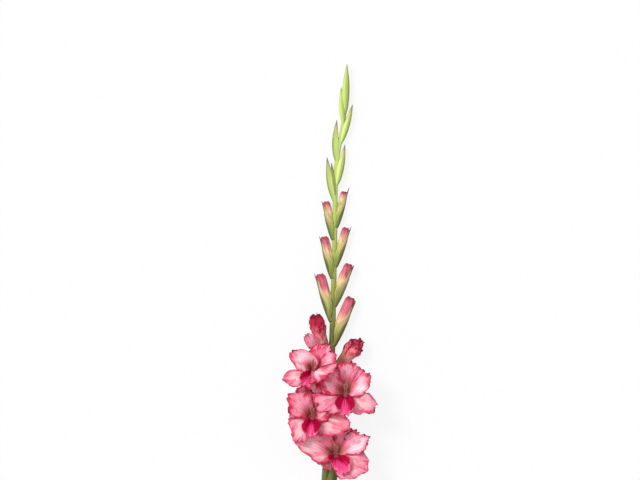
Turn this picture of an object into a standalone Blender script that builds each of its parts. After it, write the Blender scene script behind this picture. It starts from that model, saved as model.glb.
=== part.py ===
"""A cut gladiolus spike, lying on a table with its flowers up.

Blender 4.5, metres, +Z up. +Y runs along the stem from the cut end to the tip. The shapes are worked out in
millimetres in the spike's own frame, whose origin lies on the table below the lowest flower. The pieces then
hang from one empty, which carries the middle of the spike's underside to the world's origin.
"""

import math

import bmesh
import bpy
from mathutils import Vector

MM = 0.001

# ---- The stem: how far it runs aside, its height and its radius, each against the distance along it ----

STEM_SIDE = [(-250, -21), (-125, -14.5), (0, -9.3), (60, -5.2), (130, -1.2), (186, 0), (273, 2.2),
             (331, 3.6), (403, 4.6), (448, 5.8), (466, 8), (482, 10.6), (500, 13.7), (525, 17.6), (546, 20)]
STEM_HEIGHT = [(-250, 6.2), (0, 6.0), (200, 6.2), (546, 6.4)]
STEM_RADIUS = [(-250, 6.2), (0, 5.6), (130, 4.8), (190, 4.5), (250, 4.0), (316, 3.6), (400, 3.4), (480, 3.0),
               (546, 2.0)]
STEM_STEP = 20.0
STEM_SIDES = 12
CLEARANCE_MARGIN = 15.0

# ---- Sheets, gaps and the common flower ----------------------------------------------------------------

GAP = 0.3
PETAL_THICK = 0.8
PETAL_ROWS, PETAL_COLUMNS = 10, 9
BRACT_THICK = 0.7
THROAT_RADIUS = 5.2
FLARE_START = 3.0
FLARE_END = 32.0
FLARE_STEPS = 24
LAYERS_APART = (0.8, 1.9)
PETAL_BASE = 0.6
RUFFLE = 1.2
RUFFLE_COUNT = 5.0
PULL = 5.0
REACH_PLACES = (-1.0, -0.5, 0.0, 0.5, 1.0)
TUBE_RADIUS = [(0.0, 1.2), (0.15, 3.2), (0.4, 3.2), (0.7, 4.0), (1.0, 6.4)]
TUBE_END = 1.0
TUBE_START = 1.7
TUBE_OUT = 6.0
TUBE_ALONG = 22.0
THROAT_LEAD = 16.0
BRACT_SHARES = (0.02, 0.76)
BRACT_CLEAR = (0.95, 3.15)
TUBE_LEAN = (0.75, 0.66)
FLORET_WRAP = (72.0, 105.0)
FLORET_BRACT_GRID = (7, 7)
TUBE_GRID = (7, 10)

# Each petal: its angle round the flower, its length and half width, the funnel's slope under it in the
# throat and at the rim, its layer (1 in front, -1 behind), how far its end curls forwards, the phase of its
# ruffles, how far it may spread to either side in degrees, and its reach at five places across it.
TEPALS = {
    "dorsal": dict(angle=90, length=54, half=30, start=34, slope=68, layer=-1, curl=1, phase=0.4,
                   spread=(40, 40), reach=(0.7, 0.9, 1.0, 0.9, 0.7)),
    "upper_left": dict(angle=150, length=58, half=32, start=26, slope=80, layer=1, curl=-2, phase=1.7,
                       spread=(50, 50), reach=(0.8, 0.9, 1.0, 0.8, 0.6)),
    "upper_right": dict(angle=30, length=58, half=32, start=26, slope=80, layer=1, curl=-2, phase=2.9,
                        spread=(50, 50), reach=(0.6, 0.8, 1.0, 0.9, 0.8)),
    "lower_left": dict(angle=210, length=56, half=30, start=14, slope=78, layer=-1, curl=-2, phase=4.2,
                       spread=(40, 40), reach=(0.7, 0.9, 1.0, 0.9, 0.7)),
    "lower_right": dict(angle=330, length=56, half=30, start=14, slope=78, layer=-1, curl=-2, phase=5.1,
                        spread=(40, 40), reach=(0.7, 0.9, 1.0, 0.9, 0.7)),
    "lip": dict(angle=270, length=48, half=18, start=8, slope=60, layer=1, curl=0, phase=0.9, sides=(5, 5),
                spread=(55, 55), reach=(0.7, 0.95, 1.0, 0.95, 0.7)),
}


def fan(angle, length, half, spread, reach, **more):
    """What one petal does differently from the common one of its place."""
    return dict(angle=angle, length=length, half=half, spread=spread, reach=reach, **more)


# Each open flower: its node on the stem, the side it leaves to, its throat, its tilt towards the spike's
# tip, its turn to the side, and what its petals do differently.
FLORETS = [
    dict(name="floret_1", node=-28, side=1, throat=(4.9, 34.7, 27), tilt=12, turn=2, changes={
        "upper_left": fan(163, 66, 36, (70, 60), (0.62, 0.84, 1.0, 0.68, 0.56)),
        "upper_right": fan(25, 57, 32, (30, 36), (0.7, 0.84, 1.0, 0.82, 0.74)),
        "lower_right": fan(332, 58, 38, (72, 34), (0.84, 0.96, 1.0, 0.92, 0.72)),
        "lower_left": fan(232, 31, 16, (34, 20), (0.7, 0.9, 1.0, 0.9, 0.7), curl=-9),
        "dorsal": fan(52, 47, 36, (32, 46), (0.95, 1.0, 1.0, 0.95, 0.9)),
        "lip": fan(288, 45, 30, (60, 58), (0.5, 0.7, 1.0, 0.86, 0.62), layer=3, sides=(4, 4))}),
    dict(name="floret_2", node=37, side=-1, throat=(-28.9, 89.7, 30), tilt=12, turn=2, changes={
        "upper_left": fan(138, 49, 36, (50, 54), (0.8, 0.84, 1.0, 0.84, 0.8)),
        "upper_right": fan(2, 30, 32, (40, 50), (0.7, 0.95, 1.0, 0.95, 0.9), sides=(0, 4)),
        "lower_right": fan(341, 62, 38, (62, 30), (0.58, 0.8, 1.0, 0.88, 0.7)),
        "lower_left": fan(234, 53, 30, (56, 24), (0.78, 0.82, 1.0, 0.95, 0.8)),
        "dorsal": fan(84, 50, 44, (56, 44), (0.9, 1.0, 1.0, 1.0, 0.95)),
        "lip": fan(264, 45, 16, (58, 50), (0.7, 0.95, 1.0, 0.95, 0.7))}),
    dict(name="floret_3", node=72, side=1, throat=(18.5, 123, 34), tilt=12, turn=4, changes={
        "upper_left": fan(142, 47, 36, (34, 50), (0.9, 0.95, 1.0, 0.95, 0.9)),
        "upper_right": fan(31, 46, 36, (68, 30), (0.42, 0.72, 1.0, 0.97, 0.95)),
        "lower_left": fan(210, 54, 36, (30, 42), (0.95, 0.98, 1.0, 0.9, 0.72)),
        "lower_right": fan(323, 57, 36, (46, 36), (0.66, 0.78, 1.0, 0.86, 0.52)),
        "dorsal": fan(82, 47, 34, (36, 36), (0.95, 0.98, 1.0, 0.98, 0.95)),
        "lip": fan(263, 49, 16, (56, 56), (0.7, 0.95, 1.0, 0.95, 0.7))}),
    dict(name="floret_4", node=104, side=-1, throat=(-26.7, 156.2, 38), tilt=12, turn=-3, changes={
        "upper_left": fan(142, 45, 36, (97, 54), (0.4, 0.7, 1.0, 0.74, 0.54), sides=(2, 0)),
        "upper_right": fan(32, 39, 36, (30, 24), (0.5, 0.85, 1.0, 1.0, 0.9), layer=-1),
        "dorsal": fan(66, 43, 36, (40, 50), (0.95, 1.0, 1.0, 0.8, 0.55), layer=-3, curl=-3),
        "lower_left": fan(199, 50, 22, (18, 42), (0.72, 0.78, 1.0, 0.88, 0.72)),
        "lower_right": fan(326, 42, 38, (74, 46), (0.84, 0.9, 1.0, 1.0, 0.95), layer=3),
        "lip": fan(247, 41, 15, (50, 50), (0.7, 0.95, 1.0, 0.95, 0.7), sides=(5, 0))}),
]

# Each pink-tipped bud: its node along the stem, the side it leans to, its bract's tip (aside, along), its
# radius, how far up the bract its petals reach, and how far round the bract wraps it to either side.
TIPPED_BUDS = [
    dict(name="tipped_bud_1", node=193, side=1, tip=(33.8, 260), wide=8.7, reach=1.02, wrap=140),
    dict(name="tipped_bud_2", node=228, side=-1, tip=(-24.5, 298.6), wide=8.3, reach=0.95, wrap=140),
    dict(name="tipped_bud_3", node=250, side=1, tip=(31.3, 311.6), wide=8.0, reach=0.97, wrap=140),
    dict(name="tipped_bud_4", node=290, side=-1, tip=(-17.1, 351.8), wide=7.2, reach=0.96, wrap=104),
    dict(name="tipped_bud_5", node=307, side=1, tip=(26.7, 366.3), wide=6.6, reach=0.93, wrap=140),
    dict(name="tipped_bud_6", node=346, side=-1, tip=(-13.6, 403), wide=6.3, reach=0.95, wrap=104),
    dict(name="tipped_bud_7", node=364, side=1, tip=(23.5, 422.2), wide=5.8, reach=0.91, wrap=140),
]
BUD_START = 0.3
TIP_OUT = 1.5
PETAL_INSET = 0.9
PLEATS = 4.0
PLEAT_HEIGHT = 0.4
TIP_TURN = 34.0
WRAP_AT_FOOT = 92.0
WRAP_AT_TOP = 46.0
BUD_BRACT_GRID = (9, 10)
BUD_PETAL_GRID = (8, 12)

# The two buds that are opening: the points that bend their centre line, the furled petals' radius, and
# whether one petal has already peeled back.
OPENING_BUDS = [
    dict(name="opening_bud_1", side=1, base=(6.8, 147), middle=(18, 178), top=(42, 199), wide=11.2,
         peeled=False),
    dict(name="opening_bud_2", side=-1, base=(-7.5, 168), middle=(-19, 194), top=(-24, 240), wide=11.3,
         peeled=True),
]

# The petal that has peeled back from the second opening bud: its foot, its tip and its half width.
PEELED = dict(foot=(-15, 192), tip=(-38, 209), half=10.5, height=30.0)
PEELED_GRID = (8, 6)
OPENING_GRID = (12, 14)
OPENING_WRAP = (80.0, 125.0)

# Each closed green bud is one or two pointed spindles: base and tip (aside, along), radius, how far the
# middle bows aside, and how far it is lifted.
GREEN_BUDS = {
    "green_bud_1": [dict(base=(3.4, 399), tip=(-7.3, 465), wide=4.9, bow=-0.6, lift=0.0),
                    dict(base=(4.6, 404), tip=(-0.9, 457), wide=3.4, bow=0.0, lift=2.0)],
    "green_bud_2": [dict(base=(7.2, 424), tip=(18.8, 483), wide=4.7, bow=0.4, lift=0.0)],
    "green_bud_3": [dict(base=(6.4, 456), tip=(7.0, 519), wide=4.4, bow=-1.2, lift=0.0)],
    "green_bud_4": [dict(base=(12.6, 484), tip=(29.9, 541), wide=4.3, bow=0.4, lift=0.0)],
    "tip_buds": [dict(base=(18.6, 526), tip=(21.7, 600), wide=5.4, bow=0.0, lift=0.0),
                 dict(base=(16.6, 512), tip=(13.2, 566), wide=4.2, bow=0.0, lift=0.0)],
}
SPINDLE_FULLEST = 0.4
SPINDLE_LIE = 2.2
SPINDLE_GRID = (10, 12)
CLEARANCE_RINGS = 36

# ---- Looks: base colour and roughness --------------------------------------------------------------------

STEM_LOOK = ((0.20, 0.27, 0.08), 0.5)
BRACT_LOOK = ((0.32, 0.36, 0.16), 0.55)
TUBE_LOOK = ((0.55, 0.42, 0.25), 0.5)
STAMEN_LOOK = ((0.75, 0.66, 0.60), 0.6)
PETAL_LOOK = ((0.90, 0.38, 0.45), 0.5)
LIP_LOOK = ((0.75, 0.05, 0.16), 0.5)
BUD_PETAL_LOOK = ((0.78, 0.28, 0.28), 0.5)
OPENING_LOOK = ((0.62, 0.06, 0.10), 0.5)
GREEN_BUD_LOOK = ((0.45, 0.58, 0.17), 0.5)


# ---- Small helpers -------------------------------------------------------------------------------------

def mix(a, b, share):
    return a + (b - a) * share


def ease(value, start=0.0, end=1.0):
    share = min(max((value - start) / (end - start), 0.0), 1.0)
    return share * share * (3.0 - 2.0 * share)


def smooth_table(table, at):
    """Read a table of (place, value) pairs along a smooth curve through them."""
    last = len(table) - 1
    index = max(i for i in range(last) if i == 0 or table[i][0] <= at)
    before, start = table[max(index - 1, 0)], table[index]
    end, after = table[index + 1], table[min(index + 2, last)]
    span = end[0] - start[0]
    share = min(max((at - start[0]) / span, 0.0), 1.0)
    slope_in = (end[1] - before[1]) / (end[0] - before[0]) * span
    slope_out = (after[1] - start[1]) / (after[0] - start[0]) * span
    square = share * share
    cube = square * share
    return ((2 * cube - 3 * square + 1) * start[1] + (cube - 2 * square + share) * slope_in
            + (3 * square - 2 * cube) * end[1] + (cube - square) * slope_out)


def bezier(points, share):
    """A point on the curve that these control points draw."""
    level = [Vector(point) for point in points]
    while len(level) > 1:
        level = [a.lerp(b, share) for a, b in zip(level, level[1:])]
    return level[0]


def bezier_direction(points, share):
    step = 0.01
    ahead = bezier(points, min(share + step, 1.0))
    behind = bezier(points, max(share - step, 0.0))
    return (ahead - behind).normalized()


def across(direction, towards):
    """The unit vector nearest to one direction that is square to another."""
    return (towards - direction * towards.dot(direction)).normalized()


def ring_point(centre, direction, hint, radius, angle):
    """A point round a centre line. Angle 0 lies on the side that the hint points to."""
    side = across(direction, Vector(hint))
    other = direction.cross(side)
    return centre + (side * math.cos(angle) + other * math.sin(angle)) * radius


def stem_point(along):
    return Vector((smooth_table(STEM_SIDE, along), along, smooth_table(STEM_HEIGHT, along)))


def stem_radius(along):
    return smooth_table(STEM_RADIUS, along)


# ---- Building objects ----------------------------------------------------------------------------------

def make_material(name, colour, roughness):
    material = bpy.data.materials.new(name)
    material.use_nodes = True
    shader = material.node_tree.nodes["Principled BSDF"]
    shader.inputs["Base Color"].default_value = (*colour, 1.0)
    shader.inputs["Roughness"].default_value = roughness
    shader.inputs["Metallic"].default_value = 0.0
    return material


def add_object(name, bm, look, parent):
    mesh = bpy.data.meshes.new(name)
    bm.to_mesh(mesh)
    bm.free()
    mesh.shade_smooth()
    thing = bpy.data.objects.new(name, mesh)
    bpy.context.scene.collection.objects.link(thing)
    thing.parent = parent
    if look:
        mesh.materials.append(make_material(name, *look))
    return thing


def face_outwards(bm):
    bmesh.ops.recalc_face_normals(bm, faces=bm.faces)
    if bm.calc_volume(signed=True) < 0.0:
        bmesh.ops.reverse_faces(bm, faces=bm.faces)


def add_sheet(name, shape, rows, columns, thickness, look, parent):
    """A curved sheet: a flat grid moved point by point onto shape(along, across), then thickened."""
    bm = bmesh.new()
    bmesh.ops.create_grid(bm, x_segments=columns, y_segments=rows, size=1.0)
    for vert in bm.verts:
        vert.co = shape((vert.co.y + 1.0) / 2.0, vert.co.x) * MM
    sheet = add_object(name, bm, look, parent)
    solidify = sheet.modifiers.new("Thickness", "SOLIDIFY")
    solidify.thickness = thickness * MM
    solidify.offset = 0.0
    return sheet


def add_round(name, shape, rings, sides, look, parent):
    """A closed round body: a cylinder cut into rings and moved onto shape(along, angle)."""
    bm = bmesh.new()
    bmesh.ops.create_cone(bm, cap_ends=True, segments=sides, radius1=1.0, radius2=1.0, depth=2.0)
    uprights = [edge for edge in bm.edges if abs(edge.verts[0].co.z - edge.verts[1].co.z) > 1.0]
    bmesh.ops.subdivide_edges(bm, edges=uprights, cuts=rings - 1, use_grid_fill=True)
    for vert in bm.verts:
        vert.co = shape((vert.co.z + 1.0) / 2.0, math.atan2(vert.co.y, vert.co.x)) * MM
    face_outwards(bm)
    return add_object(name, bm, look, parent)


def add_boolean(target, other, operation):
    other.hide_render = True
    other.display_type = "WIRE"
    boolean = target.modifiers.new(other.name, "BOOLEAN")
    boolean.operation = operation
    boolean.solver = "EXACT"
    boolean.object = other


# ---- The stem ------------------------------------------------------------------------------------------

def add_stem(name, look, parent):
    """The stem as a bevelled curve with filled ends."""
    first, last = STEM_SIDE[0][0], STEM_SIDE[-1][0]
    count = round((last - first) / STEM_STEP)
    curve = bpy.data.curves.new(name, "CURVE")
    curve.dimensions = "3D"
    curve.bevel_depth = 1.0
    curve.bevel_resolution = STEM_SIDES // 2 - 2
    curve.use_fill_caps = True
    spline = curve.splines.new("POLY")
    spline.points.add(count)
    for index, point in enumerate(spline.points):
        along = mix(first, last, index / count)
        point.co = (*(stem_point(along) * MM), 1.0)
        point.radius = stem_radius(along) * MM
    stem = bpy.data.objects.new(name, curve)
    bpy.context.scene.collection.objects.link(stem)
    stem.parent = parent
    curve.materials.append(make_material(name, *look))
    return stem


def stem_clearance_point(s, angle):
    """The upper stem made fatter and longer by the gap, for hollowing the buds that clasp it."""
    first, last = TIPPED_BUDS[0]["node"] - CLEARANCE_MARGIN, STEM_SIDE[-1][0] + GAP
    along = mix(first, last, s)
    ring = Vector((math.cos(angle), 0.0, math.sin(angle)))
    return stem_point(along) + ring * (stem_radius(along) / math.cos(math.pi / STEM_SIDES) + GAP)


# ---- The open flowers ----------------------------------------------------------------------------------

def floret_axes(floret):
    """The flower's own directions: right, up and out of its throat."""
    tilt, turn = math.radians(floret["tilt"]), math.radians(floret["turn"])
    facing = Vector((math.sin(turn) * math.cos(tilt), math.sin(tilt), math.cos(turn) * math.cos(tilt)))
    up = across(facing, Vector((0.0, 1.0, 0.0)))
    return up.cross(facing), up, facing


def floret_tepals(floret):
    """The six petals of one flower: the common ones, with this flower's own changes."""
    return {key: {**common, **floret["changes"].get(key, {})} for key, common in TEPALS.items()}


def wall_slope(tepals, angle, key):
    """The funnel's slope low in the throat or out at the rim, read smoothly round the flower."""
    total, weight = 0.0, 0.0
    for tepal in tepals.values():
        pull = math.exp(PULL * math.cos(math.radians(angle - tepal["angle"])))
        total += pull * tepal[key]
        weight += pull
    return total / weight


def funnel(tepals, angle, distance):
    """The funnel's radius, height and slope at a distance up its wall from the throat's floor."""
    low, rim = wall_slope(tepals, angle, "start"), wall_slope(tepals, angle, "slope")
    radius, height, slope = THROAT_RADIUS, 0.0, low
    step = distance / FLARE_STEPS
    for index in range(FLARE_STEPS):
        slope = mix(low, rim, ease((index + 0.5) * step, FLARE_START, FLARE_END))
        radius += math.sin(math.radians(slope)) * step
        height += math.cos(math.radians(slope)) * step
    return radius, height, math.radians(slope)


def half_angle(tepal, s, t, radius):
    """The petal's half width as an angle about the flower's axis, held softly under its spread."""
    free = math.degrees(tepal["half"] * mix(PETAL_BASE, 1.0, ease(s, 0.0, 0.6)) / radius)
    limit = tepal["spread"][t > 0.0]
    return (free ** -5 + limit ** -5) ** -0.2


def margin_ruffle(tepal, s, t):
    """Waves along the margin, which stand forwards on a front petal and backwards on one behind."""
    margin = 1.0 - (1.0 - abs(t) ** 3) * (1.0 - s ** 6)
    wave = math.sin(RUFFLE_COUNT * math.atan2(t, s - 0.45) + tepal["phase"])
    forwards = 0.4 if tepal["layer"] > 0 else -0.4
    return RUFFLE * margin * ease(s, 0.15, 0.6) * (wave + forwards)


def raised_side(tepal, s, t):
    """How far a petal's side margins stand forwards, most of all near the throat."""
    height = tepal.get("sides", (0.0, 0.0))[t > 0.0]
    return height * t * t * ease(s, 0.12, 0.4) * (1.0 - 0.6 * ease(s, 0.6, 1.0))


def tepal_point(floret, tepals, tepal, s, t):
    distance = tepal["length"] * smooth_table(list(zip(REACH_PLACES, tepal["reach"])), t) * s
    radius = funnel(tepals, tepal["angle"], distance)[0]
    angle = tepal["angle"] + t * half_angle(tepal, s, t, radius)
    radius, height, slope = funnel(tepals, angle, distance)
    lift = tepal["layer"] * mix(*LAYERS_APART, ease(s, 0.0, 0.5)) + tepal["curl"] * s ** 4
    lift += margin_ruffle(tepal, s, t) + raised_side(tepal, s, t)
    radius -= lift * math.cos(slope)
    height += lift * math.sin(slope)
    right, up, facing = floret_axes(floret)
    turn = math.radians(angle)
    outwards = right * math.cos(turn) + up * math.sin(turn)
    return Vector(floret["throat"]) + outwards * radius + facing * height


def tube_path(floret):
    """The flower's tube leaves the stem at its node and bends up to the throat."""
    out = Vector((TUBE_LEAN[0] * floret["side"], 0.0, TUBE_LEAN[1]))
    start = stem_point(floret["node"]) + out * (stem_radius(floret["node"]) + TUBE_START)
    facing = floret_axes(floret)[2]
    throat = Vector(floret["throat"]) - facing * TUBE_END
    bend = start + out * TUBE_OUT + Vector((0.0, TUBE_ALONG, 0.0))
    return [start, bend, throat - facing * THROAT_LEAD, throat], out


def around_path(path, share, hint, radius, angle):
    return ring_point(bezier(path, share), bezier_direction(path, share), hint, radius, angle)


def tube_point(path, out, share, angle):
    return around_path(path, share, out, smooth_table(TUBE_RADIUS, share), angle)


def floret_bract_point(path, out, s, t):
    """The flower's bract hugs the outer side of the tube and ends in a point."""
    share = mix(*BRACT_SHARES, s)
    radius = smooth_table(TUBE_RADIUS, share) + mix(*BRACT_CLEAR, ease(s, 0.05, 0.4))
    spread = mix(*FLORET_WRAP, ease(s, 0.0, 0.3)) * (1.0 - 0.94 * s ** 2.2)
    return around_path(path, share, out, radius, t * math.radians(spread))


def stamen_paths():
    """Three stamens and the style, as (across, up, forward, half thickness) along each."""
    paths = []
    for lean, rise, reach in ((-1.0, 0.0, 1.0), (1.0, 0.0, 0.97), (-0.15, 1.0, 0.93), (0.2, 1.0, 1.12)):
        steps = []
        for index in range(1, 8):
            share = index / 7
            side = (0.8 if lean > 0 else -0.8) * (1.0 - share) + lean * 2.6 * share ** 1.4
            up = 1.4 * rise + 12.0 * share ** 1.6 * reach + 1.6 * rise * share
            forward = 2.0 + 17.0 * share * reach
            thick = 0.95 if rise + lean < 1.1 and share > 0.7 else 0.5
            steps.append((side, up, forward, thick))
        paths.append(steps)
    return paths


def add_stamens(name, floret, look, parent):
    """A small block on the throat's floor, with its four top faces drawn out one by one."""
    right, up, facing = floret_axes(floret)
    floor = Vector(floret["throat"])

    def place(side, high, forward):
        return (floor + right * side + up * high + facing * forward) * MM

    bm = bmesh.new()
    bmesh.ops.create_grid(bm, x_segments=2, y_segments=2, size=1.6)
    quarters = [(-1, -1), (1, -1), (-1, 1), (1, 1)]
    tops = [face for sign in quarters for face in bm.faces
            if face.calc_center_median().x * sign[0] > 0 and face.calc_center_median().y * sign[1] > 0]
    rim = [edge for edge in bm.edges if edge.is_boundary]
    lower = bmesh.ops.extrude_edge_only(bm, edges=rim)["geom"]
    for vert in bm.verts:
        vert.co = place(vert.co.x, vert.co.y + 0.8, 2.0)
    low_verts = [item for item in lower if isinstance(item, bmesh.types.BMVert)]
    for vert in low_verts:
        vert.co -= facing * 2.4 * MM
    bmesh.ops.holes_fill(bm, edges=[item for item in lower if isinstance(item, bmesh.types.BMEdge)])
    for face, steps in zip(tops, stamen_paths()):
        for side, high, forward, thick in steps:
            face = bmesh.ops.extrude_discrete_faces(bm, faces=[face])["faces"][0]
            middle = face.calc_center_median()
            for vert in face.verts:
                away = vert.co - middle
                wide = math.copysign(thick, away.dot(right))
                tall = math.copysign(thick, away.dot(up))
                vert.co = place(side + wide, high + tall, forward)
    face_outwards(bm)
    return add_object(name, bm, look, parent)


def add_floret(floret, parent):
    name = floret["name"]
    tepals = floret_tepals(floret)
    path, out = tube_path(floret)
    add_sheet(name + "_bract", lambda s, t: floret_bract_point(path, out, s, t), *FLORET_BRACT_GRID,
              BRACT_THICK, BRACT_LOOK, parent)
    add_round(name + "_tube", lambda s, a: tube_point(path, out, s, a), *TUBE_GRID, TUBE_LOOK, parent)
    add_stamens(name + "_stamens", floret, STAMEN_LOOK, parent)
    for key, tepal in tepals.items():
        look = LIP_LOOK if key == "lip" else PETAL_LOOK
        add_sheet(f"{name}_{key}_tepal", lambda s, t, own=tepal: tepal_point(floret, tepals, own, s, t),
                  PETAL_ROWS, PETAL_COLUMNS, PETAL_THICK, look, parent)


# ---- The buds ------------------------------------------------------------------------------------------

def bud_line(bud, share):
    """A bud's centre and radius. Its outer edge runs straight from the node to the bract's tip."""
    grip = stem_radius(bud["node"]) + GAP + BRACT_THICK / 2
    radius = mix(grip, bud["wide"] - BRACT_THICK / 2, ease(share, 0.0, 0.5))
    start = stem_point(bud["node"])
    aside = mix(start.x + bud["side"] * grip, bud["tip"][0], share) - bud["side"] * radius
    along = mix(start.y, bud["tip"][1], share)
    height = mix(start.z, bud["wide"] + 0.1, ease(share, 0.0, 0.5))
    aside += bud["side"] * TIP_OUT * ease(share, 0.7, 1.0)
    return Vector((aside, along, height)), radius


def bud_point(bud, share, radius_more, angle):
    """A point round the bud's centre line, angle 0 on the side away from the stem."""
    centre, radius = bud_line(bud, share)
    direction = (bud_line(bud, share + 0.01)[0] - bud_line(bud, share - 0.01)[0]).normalized()
    return ring_point(centre, direction, (bud["side"], 0.0, 0.0), radius + radius_more, angle)


def bud_bract_point(bud, s, t):
    """The bract clasps the stem at its node, wraps the bud and ends in a point on the outer side."""
    wrap = mix(mix(WRAP_AT_FOOT, bud["wrap"], ease(s, 0.05, 0.3)), WRAP_AT_TOP, ease(s, 0.36, 0.8))
    spread = wrap * (1.0 - 0.93 * ease(s, 0.76, 1.01))
    angle = math.radians(t * spread - TIP_TURN * ease(s, 0.5, 0.85)) * bud["side"]
    return bud_point(bud, s, 0.3 * ease(s, 0.8, 1.0), angle)


def bud_petal_point(bud, s, angle):
    """The furled petals inside the bract, with parallel sides and a blunt, pleated end."""
    share = mix(BUD_START, bud["reach"], s)
    inset = BRACT_THICK / 2 + PETAL_INSET + 2.0 * (1.0 - ease(s, 0.0, 0.3)) + 0.5 * ease(s, 0.9, 1.0)
    pleat = PLEAT_HEIGHT * math.cos(PLEATS * angle) * ease(s, 0.8, 1.0)
    return bud_point(bud, share, pleat - inset, angle)


def add_tipped_bud(bud, cutter, parent):
    bract = add_sheet(bud["name"] + "_bract", lambda s, t: bud_bract_point(bud, s, t), *BUD_BRACT_GRID,
                      BRACT_THICK, BRACT_LOOK, parent)
    petals = add_round(bud["name"] + "_petals", lambda s, a: bud_petal_point(bud, s, a), *BUD_PETAL_GRID,
                       BUD_PETAL_LOOK, parent)
    add_boolean(bract, cutter, "DIFFERENCE")
    add_boolean(petals, cutter, "DIFFERENCE")


def spindle_point(bud, s, angle):
    """A pointed bud: fullest part of the way up, with both ends drawn in."""
    height = bud["wide"] + SPINDLE_LIE + bud["lift"]
    start, end = Vector((*bud["base"], height)), Vector((*bud["tip"], height))
    if s < SPINDLE_FULLEST:
        profile = math.sin(math.pi / 2 * (0.1 + 0.9 * s / SPINDLE_FULLEST)) ** 0.8
    else:
        profile = math.cos(math.pi / 2 * 0.97 * (s - SPINDLE_FULLEST) / (1.0 - SPINDLE_FULLEST)) ** 0.9
    centre = start.lerp(end, s)
    centre.x += bud["bow"] * math.sin(math.pi * s)
    return ring_point(centre, (end - start).normalized(), (1.0, 0.0, 0.0), bud["wide"] * profile, angle)


def add_spindle(name, bud, look, parent):
    return add_round(name, lambda s, a: spindle_point(bud, s, a), *SPINDLE_GRID, look, parent)


def add_green_bud(name, spindles, cutter, parent):
    """One closed bud at the tip, hollowed where it clasps the stem."""
    body = add_spindle(name, spindles[0], GREEN_BUD_LOOK, parent)
    for spindle in spindles[1:]:
        add_boolean(body, add_spindle(name + "_second", spindle, None, parent), "UNION")
    add_boolean(body, cutter, "DIFFERENCE")


def opening_path(bud):
    """An opening bud's centre line, rising from beside the stem to lie on the table on its own fat body."""
    height = bud["wide"] + 2.5
    return [(*bud["base"], 8.8), (*bud["middle"], height - 1.5), (*bud["top"], height)]


def opening_profile(s):
    neck = mix(0.13, 0.66, ease(s, 0.02, 0.35))
    return mix(neck, 1.0, ease(s, 0.5, 0.72)) * (1.0 - 0.5 * ease(s, 0.84, 1.0) ** 1.4)


def opening_point(path, wide, s, angle):
    """Furled petals about to open: a narrow tube, then a wide body drawn in at the top, softly lobed."""
    lobes = 1.0 + 0.06 * ease(s, 0.4, 0.8) * math.cos(3.0 * angle + 2.0 * s)
    return around_path(path, s, (1.0, 0.0, 0.0), wide * opening_profile(s) * lobes, angle)


def opening_bract_point(path, bud, s, t):
    """The bract round an opening bud: a trough on its outer and under side that ends in a point."""
    share = mix(*BRACT_SHARES, s)
    spread = mix(*OPENING_WRAP, ease(s, 0.1, 0.5)) * (1.0 - 0.95 * ease(s, 0.5, 1.0))
    radius = bud["wide"] * opening_profile(share) * 1.06 + 1.45
    return around_path(path, share, (-bud["side"], 0.0, -0.4), radius, t * math.radians(spread))


def peeled_point(s, t):
    """A petal that has come away from the opening bud and curls over, in front of it and to the side."""
    foot = Vector((*PEELED["foot"], 10.0))
    tip = Vector((*PEELED["tip"], PEELED["height"]))
    middle = foot.lerp(tip, 0.35) + Vector((-2.0, 0.0, 12.0))
    along = tip - foot
    side = Vector((along.y, -along.x, 0.0)).normalized()
    width = PEELED["half"] * mix(0.7, 1.0, ease(s, 0.0, 0.6)) * (1.0 - 0.2 * s ** 4)
    arch = Vector((0.0, 0.0, 3.0 * (1.0 - t * t)))
    share = s * (1.0 - 0.25 * abs(t) ** 2.2)
    return bezier([foot, middle, tip], share) + side * t * width + arch


def add_opening_bud(bud, parent):
    path = opening_path(bud)
    corolla = add_round(bud["name"] + "_corolla", lambda s, a: opening_point(path, bud["wide"], s, a),
                        *OPENING_GRID, OPENING_LOOK, parent)
    if bud["peeled"]:
        petal = add_sheet("peeled_petal", peeled_point, *PEELED_GRID, PETAL_THICK, None, parent)
        add_boolean(corolla, petal, "UNION")
    add_sheet(bud["name"] + "_bract", lambda s, t: opening_bract_point(path, bud, s, t), *BUD_BRACT_GRID,
              BRACT_THICK, BRACT_LOOK, parent)


def clear_scene():
    for thing in list(bpy.data.objects):
        bpy.data.objects.remove(thing, do_unlink=True)


def centre_on_origin(spike):
    """Carry the middle of the spike's underside to the world's origin."""
    scene_state = bpy.context.evaluated_depsgraph_get()
    corners = []
    for piece in spike.children:
        if not piece.hide_render:
            corners.extend(Vector(corner) for corner in piece.evaluated_get(scene_state).bound_box)
    low = [min(corner[axis] for corner in corners) for axis in range(3)]
    high = [max(corner[axis] for corner in corners) for axis in range(3)]
    spike.location = (-(low[0] + high[0]) / 2.0, -(low[1] + high[1]) / 2.0, -low[2])


def main():
    clear_scene()
    spike = bpy.data.objects.new("spike", None)
    bpy.context.scene.collection.objects.link(spike)
    add_stem("stem", STEM_LOOK, spike)
    for floret in FLORETS:
        add_floret(floret, spike)
    for bud in OPENING_BUDS:
        add_opening_bud(bud, spike)
    cutter = add_round("stem_clearance", stem_clearance_point, CLEARANCE_RINGS, STEM_SIDES, None, spike)
    for bud in TIPPED_BUDS:
        add_tipped_bud(bud, cutter, spike)
    for name, spindles in GREEN_BUDS.items():
        add_green_bud(name, spindles, cutter, spike)
    centre_on_origin(spike)


main()
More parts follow.
